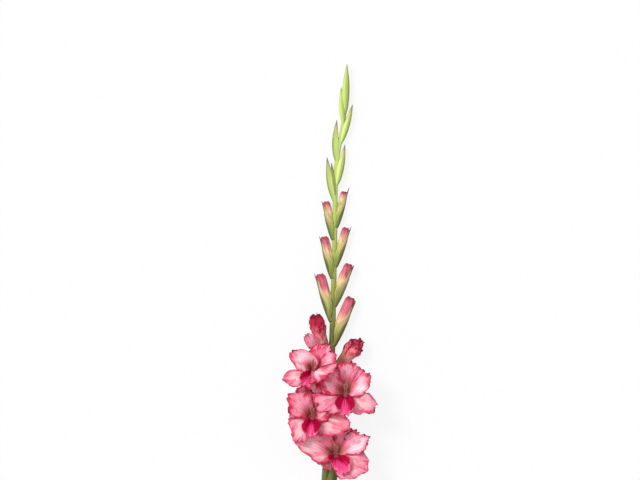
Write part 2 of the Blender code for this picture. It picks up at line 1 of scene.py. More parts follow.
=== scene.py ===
# %% [markdown]
# # A cut gladiolus spike, lying on a table
#
# A gladiolus carries its flowers on one tall stem. The lowest ones open first, so a single spike shows
# every stage at once: open flowers at the bottom, then buds that are just opening, then buds with a coloured
# tip, and closed green buds at the top.
#
# A plain solid model of the spike already exists and is loaded here as a fixed frame. This lesson builds a
# fine piece over each of its solids, so that every petal, bract and bud gets thin ruffled edges, veins and
# its own colours. The stem's solid says where the spike lies. The places of the flowers and buds are
# written below in millimetres.

import math

import bpy
import numpy as np
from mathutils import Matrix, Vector


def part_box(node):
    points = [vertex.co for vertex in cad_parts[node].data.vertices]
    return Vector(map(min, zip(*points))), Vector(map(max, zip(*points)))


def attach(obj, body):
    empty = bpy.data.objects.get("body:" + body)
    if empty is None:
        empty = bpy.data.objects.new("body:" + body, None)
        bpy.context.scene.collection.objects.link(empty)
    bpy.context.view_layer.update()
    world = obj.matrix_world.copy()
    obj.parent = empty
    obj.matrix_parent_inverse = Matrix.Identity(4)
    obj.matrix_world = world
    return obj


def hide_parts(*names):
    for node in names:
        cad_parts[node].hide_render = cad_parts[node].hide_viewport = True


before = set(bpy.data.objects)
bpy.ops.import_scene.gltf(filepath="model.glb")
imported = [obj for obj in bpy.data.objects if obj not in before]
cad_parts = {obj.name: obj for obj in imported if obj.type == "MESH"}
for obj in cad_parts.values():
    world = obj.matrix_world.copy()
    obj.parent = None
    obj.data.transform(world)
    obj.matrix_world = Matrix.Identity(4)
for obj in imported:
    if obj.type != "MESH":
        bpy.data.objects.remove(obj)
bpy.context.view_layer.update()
print("solids in the frame:", len(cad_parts))

# %% [markdown]
# ## Millimetres and soft steps
#
# A flower is easiest to describe in millimetres, in a frame of its own that starts below the lowest flower.
# Two small helpers do most of the shaping later: `mix` slides from one value to another, and `ease` turns
# a length into a soft step from 0 to 1. They work on whole tables of numbers at once, which keeps a petal
# of three thousand points quick to make.

# %% Helpers for numbers
MM = 0.001


def mix(a, b, share):
    return a + (b - a) * share


def ease(value, start=0.0, end=1.0):
    share = np.clip((value - start) / (end - start), 0.0, 1.0)
    return share * share * (3.0 - 2.0 * share)


def hill(value, middle, width):
    return np.exp(-((value - middle) / width) ** 2)


def wander(value, seed):
    """An uneven wave between about -1 and 1: three sines that never fall in step."""
    return (0.5 * np.sin(value + seed) + 0.32 * np.sin(2.3 * value + 1.7 * seed)
            + 0.22 * np.sin(4.1 * value + 2.9 * seed))


print("ease(0.25) =", float(ease(0.25)))

# %% [markdown]
# ## Directions and curves
#
# Stems, tubes and buds follow a curved centre line. A Bezier curve needs only its control points, and the
# direction along it comes from two points close together. `ring_points` then places points round the line.

# %% Helpers for curves
def unit(vectors):
    return vectors / np.linalg.norm(vectors, axis=-1, keepdims=True)


def square_to(direction, towards):
    """The unit vector nearest to one direction that is square to another."""
    along = np.sum(direction * towards, axis=-1, keepdims=True)
    return unit(towards - direction * along)


def read_table(table, at):
    """Read a table of (place, value) pairs along a smooth curve through them."""
    places, values = np.array(table, float).T
    last = len(places) - 1
    ahead = np.minimum(np.arange(last + 1) + 1, last)
    behind = np.maximum(np.arange(last + 1) - 1, 0)
    slopes = (values[ahead] - values[behind]) / (places[ahead] - places[behind])
    start = np.clip(np.searchsorted(places, at, side="right") - 1, 0, last - 1)
    span = places[start + 1] - places[start]
    share = np.clip((at - places[start]) / span, 0.0, 1.0)
    square, cube = share ** 2, share ** 3
    return ((2 * cube - 3 * square + 1) * values[start] + (cube - 2 * square + share) * slopes[start] * span
            + (3 * square - 2 * cube) * values[start + 1] + (cube - square) * slopes[start + 1] * span)


def bezier(points, share):
    """Points on the curve that these control points draw."""
    level = [np.asarray(point, float) for point in points]
    share = np.asarray(share, float)[..., None]
    while len(level) > 1:
        level = [a + (b - a) * share for a, b in zip(level, level[1:])]
    return level[0]


def bezier_direction(points, share):
    step = 0.01
    return unit(bezier(points, np.minimum(share + step, 1.0)) - bezier(points, np.maximum(share - step, 0.0)))


def ring_points(centre, direction, hint, radius, angle):
    """Points round a centre line. Angle 0 lies on the side that the hint points to."""
    side = square_to(direction, np.asarray(hint, float))
    other = np.cross(direction, side)
    ring = side * np.cos(angle)[..., None] + other * np.sin(angle)[..., None]
    return centre + ring * np.asarray(radius)[..., None]


print("middle of a simple curve:", bezier([(0, 0, 0), (1, 2, 0), (2, 0, 0)], 0.5))

# %% [markdown]
# ## The stem's line, and where the frame lies
#
# The stem bends gently to one side. Its line is a short table of distances, read along a smooth curve.
# The frame says where the real solid lies, so comparing the two boxes gives the step from the flower's own
# millimetres to the frame's metres. Every piece after this is placed by `to_world`.

# %% The stem's line
STEM_SIDE = [(-250, -21), (-125, -14.5), (0, -9.3), (60, -5.2), (130, -1.2), (186, 0), (273, 2.2), (331, 3.6),
             (403, 4.6), (448, 5.8), (466, 8), (482, 10.6), (500, 13.7), (525, 17.6), (546, 20)]
STEM_HEIGHT = [(-250, 6.4), (0, 6.2), (200, 6.4), (546, 6.4)]
STEM_RADIUS = [(-250, 6.2), (0, 5.8), (130, 5.0), (190, 4.6), (250, 4.1), (316, 3.7), (400, 3.5),
               (480, 3.1), (546, 2.1)]


def stem_point(along):
    along = np.asarray(along, float)
    return np.stack([read_table(STEM_SIDE, along), along, read_table(STEM_HEIGHT, along)], axis=-1)


def stem_radius(along):
    return read_table(STEM_RADIUS, along)


stem_along = np.linspace(STEM_SIDE[0][0], STEM_SIDE[-1][0], 200)
stem_line = stem_point(stem_along)
stem_wide = stem_radius(stem_along)
stem_box = [(stem_line[:, 0] - stem_wide).min(), (stem_line[:, 0] + stem_wide).max()]
low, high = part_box("stem")
SPIKE_ORIGIN = np.array([(low.x + high.x - sum(stem_box) * MM) / 2,
                         (low.y + high.y - (stem_along[0] + stem_along[-1]) * MM) / 2,
                         low.z])


def to_world(points):
    return points * MM + SPIKE_ORIGIN


print("the flower's own frame starts at", np.round(SPIKE_ORIGIN, 4), "m")

# %% [markdown]
# ## From tables of points to closed pieces
#
# A petal is a sheet about half a millimetre thick. Here a sheet is worked out as one table of points,
# `along` in rows and `across` in columns. Two skins are then set either side of it and joined round the
# margin, thinner at the edge than in the middle. That makes a closed body with a real edge, which a single
# skin doesn't have. Blender's Solidify modifier can do this too, but it can't thin the edge as easily.
#
# Each point also remembers where it lies on the petal and how far it is from the margin. The finishes
# read those values later, so that veins follow the petal and the rim follows the ruffles.

# %% Sheets
EDGE_SHARE = 0.4
EDGE_WIDTH = 4.0


def margin_distance(points):
    """How far each point is from the sheet's margin in millimetres, across it and towards its tip."""
    across = np.linalg.norm(np.diff(points, axis=1), axis=2)
    from_side = np.pad(np.cumsum(across, axis=1), ((0, 0), (1, 0)))
    side = np.minimum(from_side, from_side[:, -1:] - from_side)
    along = np.linalg.norm(np.diff(points, axis=0), axis=2)
    from_foot = np.pad(np.cumsum(along, axis=0), ((1, 0), (0, 0)))
    return np.minimum(side, from_foot[-1:] - from_foot)


def sheet_part(points, thickness, s, t, seed=0.0):
    """A closed sheet about a table of points, as vertices, faces and what each vertex remembers."""
    edge = margin_distance(points)
    normal = unit(np.cross(np.gradient(points, axis=0), np.gradient(points, axis=1)))
    half = (thickness / 2 * mix(EDGE_SHARE, 1.0, ease(edge, 0.0, EDGE_WIDTH)))[..., None]
    front, back = points + normal * half, points - normal * half
    rows, columns = points.shape[:2]
    ring = 2 * columns
    verts = np.concatenate([front, back[:, ::-1]], axis=1)
    index = np.arange(rows * ring).reshape(rows, ring)
    after = np.roll(index, -1, axis=1)
    faces = np.stack([index[:-1], index[1:], after[1:], after[:-1]], axis=-1).reshape(-1, 4)
    ends = []
    for row, turn in ((0, 1), (rows - 1, -1)):
        upper, lower = index[row, :columns], index[row, columns:][::-1]
        cap = np.stack([upper[:-1], upper[1:], lower[1:], lower[:-1]], axis=-1)
        ends.append(cap[:, ::turn])
    place = np.stack([t, s, np.full_like(s, seed)], axis=-1)
    place = np.concatenate([place, place[:, ::-1]], axis=1)
    edge = np.concatenate([edge, edge[:, ::-1]], axis=1)
    front_face = np.concatenate([np.ones_like(s), np.zeros_like(s)], axis=1)
    return dict(verts=verts.reshape(-1, 3), faces=np.concatenate([faces, *ends]).tolist(),
                place=place.reshape(-1, 3), edge=edge.ravel(), front=front_face.ravel())


def sheet_grid(rows, columns):
    """Where a sheet's points lie, along (0 to 1) and across (-1 to 1), closer together near the margin."""
    along = np.linspace(0.0, 1.0, rows + 1)
    along = mix(along, np.sin(along * math.pi / 2), 0.5)
    across = np.linspace(-1.0, 1.0, columns + 1)
    across = mix(across, np.sin(across * math.pi / 2), 0.5)
    return np.meshgrid(along, across, indexing="ij")


print("a petal's grid has", sheet_grid(60, 44)[0].size, "points")

# %% [markdown]
# ## Round bodies and the finished object
#
# Buds, tubes and the stem are rings of points joined one to the next, closed by a fan at each end.
# `make_piece` turns one or several such parts into a mesh object. It also hangs the piece on the spike's one
# body, hides the solid of the frame that it stands for, and gives it the finish made for it here.

# %% Round bodies and objects
NO_EDGE = 9.0


def round_part(points, s, angle):
    """A closed round body from rings of points, with a vertex in the middle of each end."""
    rows, sides = points.shape[:2]
    index = np.arange(rows * sides).reshape(rows, sides)
    after = np.roll(index, -1, axis=1)
    faces = np.stack([index[:-1], after[:-1], after[1:], index[1:]], axis=-1).reshape(-1, 4).tolist()
    first, last = rows * sides, rows * sides + 1
    faces += [[first, b, a] for a, b in zip(index[0], after[0])]
    faces += [[last, a, b] for a, b in zip(index[-1], after[-1])]
    verts = np.concatenate([points.reshape(-1, 3), points[0].mean(0)[None], points[-1].mean(0)[None]])
    place = np.stack([np.cos(angle), np.sin(angle), s], axis=-1).reshape(-1, 3)
    place = np.concatenate([place, [[0.0, 0.0, s.min()], [0.0, 0.0, s.max()]]])
    count = len(verts)
    return dict(verts=verts, faces=faces, place=place, edge=np.full(count, NO_EDGE),
                front=np.full(count, 1.0))


def round_grid(rows, sides):
    return np.meshgrid(np.linspace(0.0, 1.0, rows + 1), np.arange(sides) * 2 * math.pi / sides, indexing="ij")


def make_piece(name, parts, finish, node):
    """One mesh object from several parts, standing for a solid of the frame."""
    faces, start = [], 0
    for part in parts:
        faces += [[int(corner) + start for corner in face] for face in part["faces"]]
        start += len(part["verts"])
    mesh = bpy.data.meshes.new(name)
    mesh.from_pydata(to_world(np.concatenate([part["verts"] for part in parts])).tolist(), [], faces)
    for key, kind, field in (("place", "FLOAT_VECTOR", "vector"), ("edge", "FLOAT", "value"),
                             ("front", "FLOAT", "value")):
        values = np.concatenate([part[key] for part in parts]).astype(np.float32)
        mesh.attributes.new(key, kind, "POINT").data.foreach_set(field, values.ravel())
    mesh.shade_smooth()
    mesh.materials.append(finish)
    piece = bpy.data.objects.new(name, mesh)
    bpy.context.scene.collection.objects.link(piece)
    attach(piece, "root")
    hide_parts(node)
    return piece


triangles_made = {}


def report(title, pieces):
    """Print how many triangles a group of pieces has."""
    count = sum(len(face.vertices) - 2 for piece in pieces for face in piece.data.polygons)
    triangles_made[title] = count
    print(f"{title}: {len(pieces)} pieces, {count} triangles")


print("helpers for round bodies are ready")

# %% [markdown]
# ## Nodes in few words
#
# Every finish here is a node tree that Blender works out from formulas, with no picture files. Building
# one by hand takes many lines, so these helpers add a node, feed its sockets and hand back its result.
# Colours are written as sRGB codes, as on a paint chart, and turned into the linear values that
# the renderer works in.

# %% Helpers for finishes
SHEET_SHIFT = 0.37
GLOW_RADIUS = (1.0, 0.35, 0.3)
GLOW_DEPTH = 0.0012
BUMP_HEIGHT = 0.0006
SHINE = 0.22


def tint(code):
    """A colour chart's six-figure code as linear red, green, blue and alpha."""
    parts = [int(code[i:i + 2], 16) / 255.0 for i in (0, 2, 4)]
    return (*(part / 12.92 if part <= 0.04045 else ((part + 0.055) / 1.055) ** 2.4 for part in parts), 1.0)


def add_node(tree, kind, feeds, **settings):
    """Add a node, set its options, and feed its inputs with numbers, colours or other nodes' results."""
    node = tree.nodes.new("ShaderNode" + kind)
    for key, value in settings.items():
        setattr(node, key, value)
    for place, value in (feeds.items() if isinstance(feeds, dict) else enumerate(feeds)):
        if isinstance(value, bpy.types.NodeSocket):
            tree.links.new(value, node.inputs[place])
        else:
            node.inputs[place].default_value = value
    return node


def work_out(tree, operation, *values):
    return add_node(tree, "Math", values, operation=operation).outputs[0]


def plus(tree, first, second):
    return work_out(tree, "ADD", first, second)


def minus(tree, first, second):
    return work_out(tree, "SUBTRACT", first, second)


def times(tree, first, second):
    return work_out(tree, "MULTIPLY", first, second)


def blend(tree, share, first, second, way="MIX"):
    node = add_node(tree, "Mix", {0: share, 6: first, 7: second}, data_type="RGBA", blend_type=way)
    return node.outputs[2]


def fade(tree, value, start, end, low=0.0, high=1.0):
    """A soft step from low to high as the value goes from start to end."""
    feeds = {"Value": value, "From Min": start, "From Max": end, "To Min": low, "To Max": high}
    return add_node(tree, "MapRange", feeds, interpolation_type="SMOOTHSTEP").outputs["Result"]


def cloud(tree, vector, scale, stretch=(1.0, 1.0, 1.0), detail=3.0):
    """Soft uneven noise between 0 and 1, stretched along the given directions."""
    stretched = add_node(tree, "VectorMath", (vector, stretch), operation="MULTIPLY").outputs[0]
    return add_node(tree, "TexNoise", {"Vector": stretched, "Scale": scale, "Detail": detail}).outputs[0]


def remembered(tree, name):
    """What each vertex remembers: its place on the piece, or its distance from the margin."""
    return add_node(tree, "Attribute", (), attribute_name=name)


def where_on_piece(tree, seed, aside=1.0):
    """A vertex's three place values, its distance from the margin, and its place shifted by a seed."""
    place = remembered(tree, "place").outputs["Vector"]
    first, second, third = add_node(tree, "SeparateXYZ", (place,)).outputs
    edge = remembered(tree, "edge").outputs["Fac"]
    shift = (seed, seed * aside, seed)
    shifted = add_node(tree, "VectorMath", (place, shift), operation="ADD").outputs[0]
    return first, second, third, edge, shifted


def new_finish(name, roughness, subsurface=0.0, sheen=0.0, coat=0.0):
    """An empty finish whose even values are set on the shader's own sockets."""
    finish = bpy.data.materials.new(name)
    finish.use_nodes = True
    shader = finish.node_tree.nodes["Principled BSDF"]
    shader.inputs["Roughness"].default_value = roughness
    shader.inputs["Subsurface Weight"].default_value = subsurface
    shader.inputs["Subsurface Radius"].default_value = GLOW_RADIUS
    shader.inputs["Subsurface Scale"].default_value = GLOW_DEPTH
    shader.inputs["Sheen Weight"].default_value = sheen
    shader.inputs["Sheen Roughness"].default_value = 0.4
    shader.inputs["Coat Weight"].default_value = coat
    shader.inputs["Specular IOR Level"].default_value = SHINE
    return finish, finish.node_tree, shader


def finish_surface(tree, shader, colour, height, strength, grain=None, rough=(0.4, 0.6)):
    """Connect the colour and the bump. A grain, if given, makes the roughness uneven."""
    tree.links.new(colour, shader.inputs["Base Color"])
    bump = add_node(tree, "Bump", {"Height": height, "Strength": strength, "Distance": BUMP_HEIGHT})
    tree.links.new(bump.outputs[0], shader.inputs["Normal"])
    if grain is not None:
        tree.links.new(fade(tree, grain, 0.2, 0.8, *rough), shader.inputs["Roughness"])


print("salmon pink in linear values:", [round(part, 3) for part in tint("f6959c")])

# %% [markdown]
# ## The camera, the table and the light
#
# A cut spike lies on its table, so the camera hangs high above it and looks straight down, as a copy stand
# does. A long lens keeps the view flat. The table and the room are a plain pale studio: the floor is a
# white surface that still catches a soft shadow. Light Path tells the nodes when the camera itself looks,
# and only then does the floor glow a little, so that it looks white without more light on the flower.

# %% Camera
VIEW_CENTRE = (-17.4, 345.1)
VIEW_WIDTH = 928.0
CAMERA_HEIGHT = 4.0
SENSOR_WIDTH = 36.0

camera_data = bpy.data.cameras.new("camera")
camera_data.sensor_width = SENSOR_WIDTH
camera_data.lens = SENSOR_WIDTH * CAMERA_HEIGHT / (VIEW_WIDTH * MM)
camera_data.clip_end = 50.0
camera = bpy.data.objects.new("camera", camera_data)
bpy.context.scene.collection.objects.link(camera)
camera.location = Vector(to_world(np.array([*VIEW_CENTRE, 0.0]))) + Vector((0.0, 0.0, CAMERA_HEIGHT))
bpy.context.scene.camera = camera
print("lens", round(camera_data.lens, 1), "mm, camera at", [round(part, 3) for part in camera.location])

# %% Table, room and lamps
FLOOR_REACH = 12.0
FLOOR_GLOW = 0.85
ROOM_LIGHT = 0.6
FLOOR_COLOUR = (0.93, 0.93, 0.93, 1.0)
WINDOW = dict(towards=(0.75, -0.55, -1.0), strength=1.95, width=24.0)


def seen_directly(tree):
    """1 where the camera sees the surface, also by way of a glossy or clear one, and otherwise 0."""
    path = add_node(tree, "LightPath", ())
    seen = work_out(tree, "MAXIMUM", path.outputs["Is Camera Ray"], path.outputs["Is Glossy Ray"])
    return work_out(tree, "MAXIMUM", seen, path.outputs["Is Transmission Ray"])


def make_floor():
    mesh = bpy.data.meshes.new("floor")
    corners = [(-1, -1), (1, -1), (1, 1), (-1, 1)]
    mesh.from_pydata([(x * FLOOR_REACH, y * FLOOR_REACH, 0.0) for x, y in corners], [], [(0, 1, 2, 3)])
    floor = bpy.data.objects.new("floor", mesh)
    bpy.context.scene.collection.objects.link(floor)
    paper, tree, shader = new_finish("floor_paper", 0.9)
    shader.inputs["Specular IOR Level"].default_value = 0.0
    shader.inputs["Base Color"].default_value = FLOOR_COLOUR
    glow = add_node(tree, "Emission", {"Strength": 1.0})
    share = times(tree, seen_directly(tree), FLOOR_GLOW)
    both = add_node(tree, "MixShader", {0: share, 1: shader.outputs[0], 2: glow.outputs[0]})
    tree.links.new(both.outputs[0], tree.nodes["Material Output"].inputs[0])
    mesh.materials.append(paper)


def make_room():
    world = bpy.data.worlds.new("room")
    bpy.context.scene.world = world
    world.use_nodes = True
    tree = world.node_tree
    light = work_out(tree, "MAXIMUM", seen_directly(tree), ROOM_LIGHT)
    background = tree.nodes["Background"]
    background.inputs["Color"].default_value = (1.0, 1.0, 1.0, 1.0)
    tree.links.new(light, background.inputs["Strength"])


def add_sun(name, towards, strength, width):
    lamp = bpy.data.lights.new(name, "SUN")
    lamp.energy = strength
    lamp.angle = math.radians(width)
    sun = bpy.data.objects.new(name, lamp)
    bpy.context.scene.collection.objects.link(sun)
    sun.rotation_euler = Vector(towards).to_track_quat("-Z", "Y").to_euler()


make_floor()
make_room()
add_sun("window", **WINDOW)
print("room light", ROOM_LIGHT, "and one soft lamp")

# %% [markdown]
# ## The stem
#
# A gladiolus stem is round and firm, with fine ribs along it, a slight swelling at each node where a flower
# or bud leaves it, and a pale cut face with rows of dots, which are its cut vessels. A plain bevelled curve
# would do for the roundness. Rings of points are used instead, because they can carry the ribs and nodes
# and turn over the cut's rim into the face itself.

# %% The stem's shape
NODES = [-28, 37, 72, 104, 128, 150, 193, 228, 250, 290, 307, 346, 364, 396, 420, 454, 482, 510]
STEM_RIBS = 11
STEM_SIDES = 66
STEM_ROWS = 400
RIB_DEPTH = 0.012
SWELLING = 0.05
SWELLING_WIDTH = 2.6
SWELLS_ABOVE = -40
STEM_LOWEST = 0.02
CUT_RINGS = [(0.97, -0.25), (0.9, -0.35), (0.72, -0.1), (0.5, 0.15), (0.3, 0.25), (0.12, 0.3)]


def stem_part():
    along = np.linspace(STEM_SIDE[0][0], STEM_SIDE[-1][0], STEM_ROWS)
    angle = np.arange(STEM_SIDES) * 2 * math.pi / STEM_SIDES
    along, angle = np.meshgrid(along, angle, indexing="ij")
    direction = unit(np.gradient(stem_point(along), axis=0))
    swelling = sum(hill(along, node, SWELLING_WIDTH) for node in NODES)
    ribs = np.sin(STEM_RIBS * angle + 0.6 * wander(along * 0.01, 2.0))
    swelling = SWELLING * swelling * (along > SWELLS_ABOVE)
    radius = stem_radius(along) * (1.0 - RIB_DEPTH + RIB_DEPTH * ribs + swelling)
    body = ring_points(stem_point(along), direction, (1.0, 0.0, 0.0), radius, angle)
    face = []
    for share, depth in reversed(CUT_RINGS):
        ring = body[0].mean(0) + (body[0] - body[0].mean(0)) * share
        face.append(ring + direction[0, 0] * depth)
    points = np.concatenate([np.stack(face), body])
    points[..., 2] = np.maximum(points[..., 2], STEM_LOWEST)
    s = np.concatenate([np.full((len(face), STEM_SIDES), along.min()), along])
    angle = np.concatenate([angle[:len(face)], angle])
    part = round_part(points, s * 0.01, angle)
    radial = np.full(len(part["verts"]), NO_EDGE)
    for row, (share, depth) in enumerate(reversed(CUT_RINGS)):
        radial[row * STEM_SIDES:(row + 1) * STEM_SIDES] = 0.0
    radial[len(points) * STEM_SIDES] = 0.0
    part["edge"] = radial
    return part


# %% [markdown]
# ### The stem's finish
#
# The skin is olive green with a greyish bloom low down and grows to a fresh yellow green at the tip. Fine
# streaks run along it. Noise that is stretched a long way along the stem gives both the streaks and the
# bump. The cut face takes a pale green, with the dots of a Voronoi pattern as its vessels.

# %% The stem's finish
def stem_finish():
    finish, tree, shader = new_finish("stem_skin", 0.5, subsurface=0.08, coat=0.05)
    place = remembered(tree, "place").outputs["Vector"]
    along = add_node(tree, "SeparateXYZ", (place,)).outputs[2]
    streaks = cloud(tree, place, 3.0, (2.2, 2.2, 0.12), 5.0)
    patches = cloud(tree, place, 1.0, (0.8, 0.8, 0.9), 2.0)
    green = blend(tree, fade(tree, along, -0.6, 1.8), tint("6b7338"), tint("85864a"))
    green = blend(tree, fade(tree, along, 1.9, 2.7), green, tint("a9b85c"))
    green = blend(tree, fade(tree, along, 2.7, 3.9), green, tint("c6dc74"))
    green = blend(tree, fade(tree, along, 3.9, 4.8), green, tint("d4ee84"))
    green = blend(tree, fade(tree, streaks, 0.42, 0.62, 0.0, 0.5), green, tint("52592c"), "MULTIPLY")
    green = blend(tree, fade(tree, streaks, 0.56, 0.75, 0.0, 0.45), green, tint("c4d28c"))
    green = blend(tree, fade(tree, patches, 0.5, 0.75, 0.0, 0.3), green, tint("9a7f5c"))
    cut = fade(tree, remembered(tree, "edge").outputs["Fac"], 3.0, 0.5)
    spot = add_node(tree, "TexCoord", ()).outputs["Object"]
    vessels = add_node(tree, "TexVoronoi", {"Vector": spot, "Scale": 1500.0}).outputs["Distance"]
    pith = blend(tree, fade(tree, vessels, 0.1, 0.35), tint("8c9a55"), tint("dfe3b4"))
    colour = blend(tree, cut, green, pith)
    finish_surface(tree, shader, colour, streaks, 0.5, streaks, (0.4, 0.62))
    return finish


stem = make_piece("flower_stem", [stem_part()], stem_finish(), "stem")
report("stem", [stem])

# %% [markdown]
# ## How a petal gets its shape
#
# The six petals of a gladiolus, which botanists call tepals, form a funnel. Each starts as a narrow strip in
# the throat, widens, and bends outwards. Three of them stand in front and three behind. A petal here is a
# piece cut from that funnel: `s` runs from the throat to the tip, `t` from one margin to the other.
#
# The big shape is the funnel. Over it lie the things that make a petal look alive: a groove along its
# middle, shallow flutes that fan out from the throat, and ruffles that only the margin has. Each of these
# is one line of waves, multiplied by a soft step that says where it may act.

# %% The common flower
THROAT_RADIUS = 5.2
FLARE_START = 3.0
FLARE_END = 32.0
FLARE_STEPS = 24
LAYERS_APART = (0.8, 1.9)
PETAL_BASE = 0.6
PETAL_THICK = 0.55
PETAL_LOWEST = 0.6
RUFFLE = 2.2
RUFFLE_COUNT = 7.0

TEPALS = {
    "dorsal": dict(half=30, start=34, slope=68, layer=-1, curl=1, phase=0.4, reach=(0.7, 0.9, 1.0, 0.9, 0.7)),
    "upper_left": dict(half=32, start=26, slope=80, layer=1, curl=-2, phase=1.7,
                       reach=(0.8, 0.9, 1.0, 0.8, 0.6)),
    "upper_right": dict(half=32, start=26, slope=80, layer=1, curl=-2, phase=2.9,
                        reach=(0.6, 0.8, 1.0, 0.9, 0.8)),
    "lower_left": dict(half=30, start=14, slope=78, layer=-1, curl=-2, phase=4.2,
                       reach=(0.7, 0.9, 1.0, 0.9, 0.7)),
    "lower_right": dict(half=30, start=14, slope=78, layer=-1, curl=-2, phase=5.1,
                        reach=(0.7, 0.9, 1.0, 0.9, 0.7)),
    "lip": dict(half=18, start=8, slope=60, layer=1, curl=0, phase=0.9, reach=(0.7, 0.95, 1.0, 0.95, 0.7),
                sides=(5, 5)),
}

# %% [markdown]
# Each open flower stands at its own node, faces its own way, and has petals that differ a little from the
# common ones. `spread` is how far a petal reaches round the flower to either side of its middle, in degrees,
# and `reach` how long it is at five places from one margin to the other, as a share of its full length. So a
# petal can be a lopsided fan, which most of them are. Only what differs is written down.

# %% The four open flowers
FLORETS = [
    dict(name="floret_1", node=-28, side=1, throat=(4.9, 34.7, 27), tilt=12, turn=2, changes={
        "upper_left": dict(angle=163, length=66, half=36, spread=(70, 60),
                           reach=(0.62, 0.84, 1.0, 0.68, 0.56)),
        "upper_right": dict(angle=25, length=57, spread=(30, 36), reach=(0.7, 0.84, 1.0, 0.82, 0.74)),
        "lower_right": dict(angle=332, length=57, half=38, spread=(72, 34),
                            reach=(0.8, 0.94, 1.0, 0.92, 0.72), jag=0.4),
        "lower_left": dict(angle=232, length=31, half=16, spread=(34, 20), curl=-9),
        "dorsal": dict(angle=52, length=47, half=36, spread=(32, 46), reach=(0.95, 1.0, 1.0, 0.95, 0.9)),
        "lip": dict(angle=288, length=45, half=30, spread=(104, 58), reach=(0.42, 0.6, 1.0, 0.86, 0.62),
                    sides=(6, 6))}),
    dict(name="floret_2", node=37, side=-1, throat=(-28.9, 89.7, 30), tilt=12, turn=2, changes={
        "upper_left": dict(angle=138, length=49, half=36, spread=(50, 54), reach=(0.8, 0.84, 1.0, 0.84, 0.8)),
        "upper_right": dict(angle=2, length=30, spread=(46, 50), reach=(0.7, 0.95, 1.0, 0.95, 0.9),
                            sides=(0, 4)),
        "lower_right": dict(angle=341, length=62, half=38, spread=(62, 30),
                            reach=(0.58, 0.8, 1.0, 0.88, 0.7)),
        "lower_left": dict(angle=234, length=53, half=30, spread=(56, 24),
                           reach=(0.78, 0.82, 1.0, 0.95, 0.8)),
        "dorsal": dict(angle=84, length=50, half=44, spread=(56, 44), reach=(0.9, 1.0, 1.0, 1.0, 0.95)),
        "lip": dict(angle=264, length=45, half=16, spread=(58, 54))}),
    dict(name="floret_3", node=72, side=1, throat=(18.5, 123, 34), tilt=12, turn=4, changes={
        "upper_left": dict(angle=142, length=47, half=36, spread=(34, 50), reach=(0.9, 0.95, 1.0, 0.95, 0.9)),
        "upper_right": dict(angle=31, length=46, half=36, spread=(68, 30),
                            reach=(0.42, 0.72, 1.0, 0.97, 0.95)),
        "lower_left": dict(angle=210, length=54, half=36, spread=(30, 42),
                           reach=(0.95, 0.98, 1.0, 0.9, 0.72)),
        "lower_right": dict(angle=323, length=54, half=36, spread=(46, 36),
                            reach=(0.68, 0.82, 1.0, 0.97, 0.64)),
        "dorsal": dict(angle=82, length=47, half=34, spread=(36, 36), reach=(0.95, 0.98, 1.0, 0.98, 0.95)),
        "lip": dict(angle=263, length=49, half=16, spread=(56, 56))}),
    dict(name="floret_4", node=104, side=-1, throat=(-26.7, 156.2, 38), tilt=12, turn=-3, changes={
        "upper_left": dict(angle=142, length=45, half=36, spread=(97, 54), reach=(0.4, 0.7, 1.0, 0.74, 0.54),
                           sides=(6, 0)),
        "upper_right": dict(angle=30, length=41, half=36, layer=-1, spread=(72, 26),
                            reach=(0.5, 0.85, 1.0, 1.0, 0.9)),
        "dorsal": dict(angle=66, length=43, half=36, layer=-3, spread=(40, 50),
                       reach=(0.95, 1.0, 1.0, 0.8, 0.55)),
        "lower_left": dict(angle=199, length=52, half=22, spread=(18, 40),
                           reach=(0.72, 0.9, 0.98, 0.94, 0.74), jag=0.4),
        "lower_right": dict(angle=326, length=42, half=38, layer=3, spread=(72, 48),
                            reach=(0.9, 0.82, 0.76, 0.9, 1.02), claw=0.3, fold=5),
        "lip": dict(angle=247, length=41, half=15, spread=(50, 66))}),
]


def floret_tepals(floret):
    return {key: {**common, **floret["changes"].get(key, {})} for key, common in TEPALS.items()}


def floret_axes(floret):
    """The flower's own directions: right, up, and out of its throat."""
    tilt, turn = math.radians(floret["tilt"]), math.radians(floret["turn"])
    facing = np.array([math.sin(turn) * math.cos(tilt), math.sin(tilt), math.cos(turn) * math.cos(tilt)])
    up = square_to(facing, np.array([0.0, 1.0, 0.0]))
    return np.cross(up, facing), up, facing


print("open flowers:", [floret["name"] for floret in FLORETS])

# %% [markdown]
# The funnel opens at a different slope under each petal, so the slope at any angle is a blend of the six
# petals' own, in which the nearest counts most. Adding up many small steps along the wall gives the
# radius and the height at any distance from the throat.

# %% The funnel
def wall_slopes(tepals, angle):
    """The funnel's slope low in the throat and out at the rim, at any angle round the flower."""
    pulls = [np.exp(5.0 * np.cos(np.radians(angle - tepal["angle"]))) for tepal in tepals.values()]
    return [sum(pull * tepal[key] for pull, tepal in zip(pulls, tepals.values())) / sum(pulls)
            for key in ("start", "slope")]


def funnel(tepals, angle, distance):
    """The funnel's radius, height and slope at a distance up its wall from the throat's floor."""
    low, rim = wall_slopes(tepals, angle)
    radius, height = THROAT_RADIUS, 0.0
    step = distance / FLARE_STEPS
    for index in range(FLARE_STEPS):
        slope = np.radians(mix(low, rim, ease((index + 0.5) * step, FLARE_START, FLARE_END)))
        radius = radius + np.sin(slope) * step
        height = height + np.cos(slope) * step
    return radius, height, slope


def half_angle(tepal, s, t, radius):
    """The petal's half width as an angle about the flower's axis, held softly under its spread."""
    free = np.degrees(tepal["half"] * mix(tepal.get("claw", PETAL_BASE), 1.0, ease(s, 0.0, 0.6)) / radius)
    limit = np.where(t < 0.0, *tepal["spread"])
    return (free ** -5.0 + limit ** -5.0) ** -0.2


flower = floret_tepals(FLORETS[0])
print("funnel radius 40 mm up:", round(float(funnel(flower, 90.0, np.array(40.0))[0]), 1), "mm")

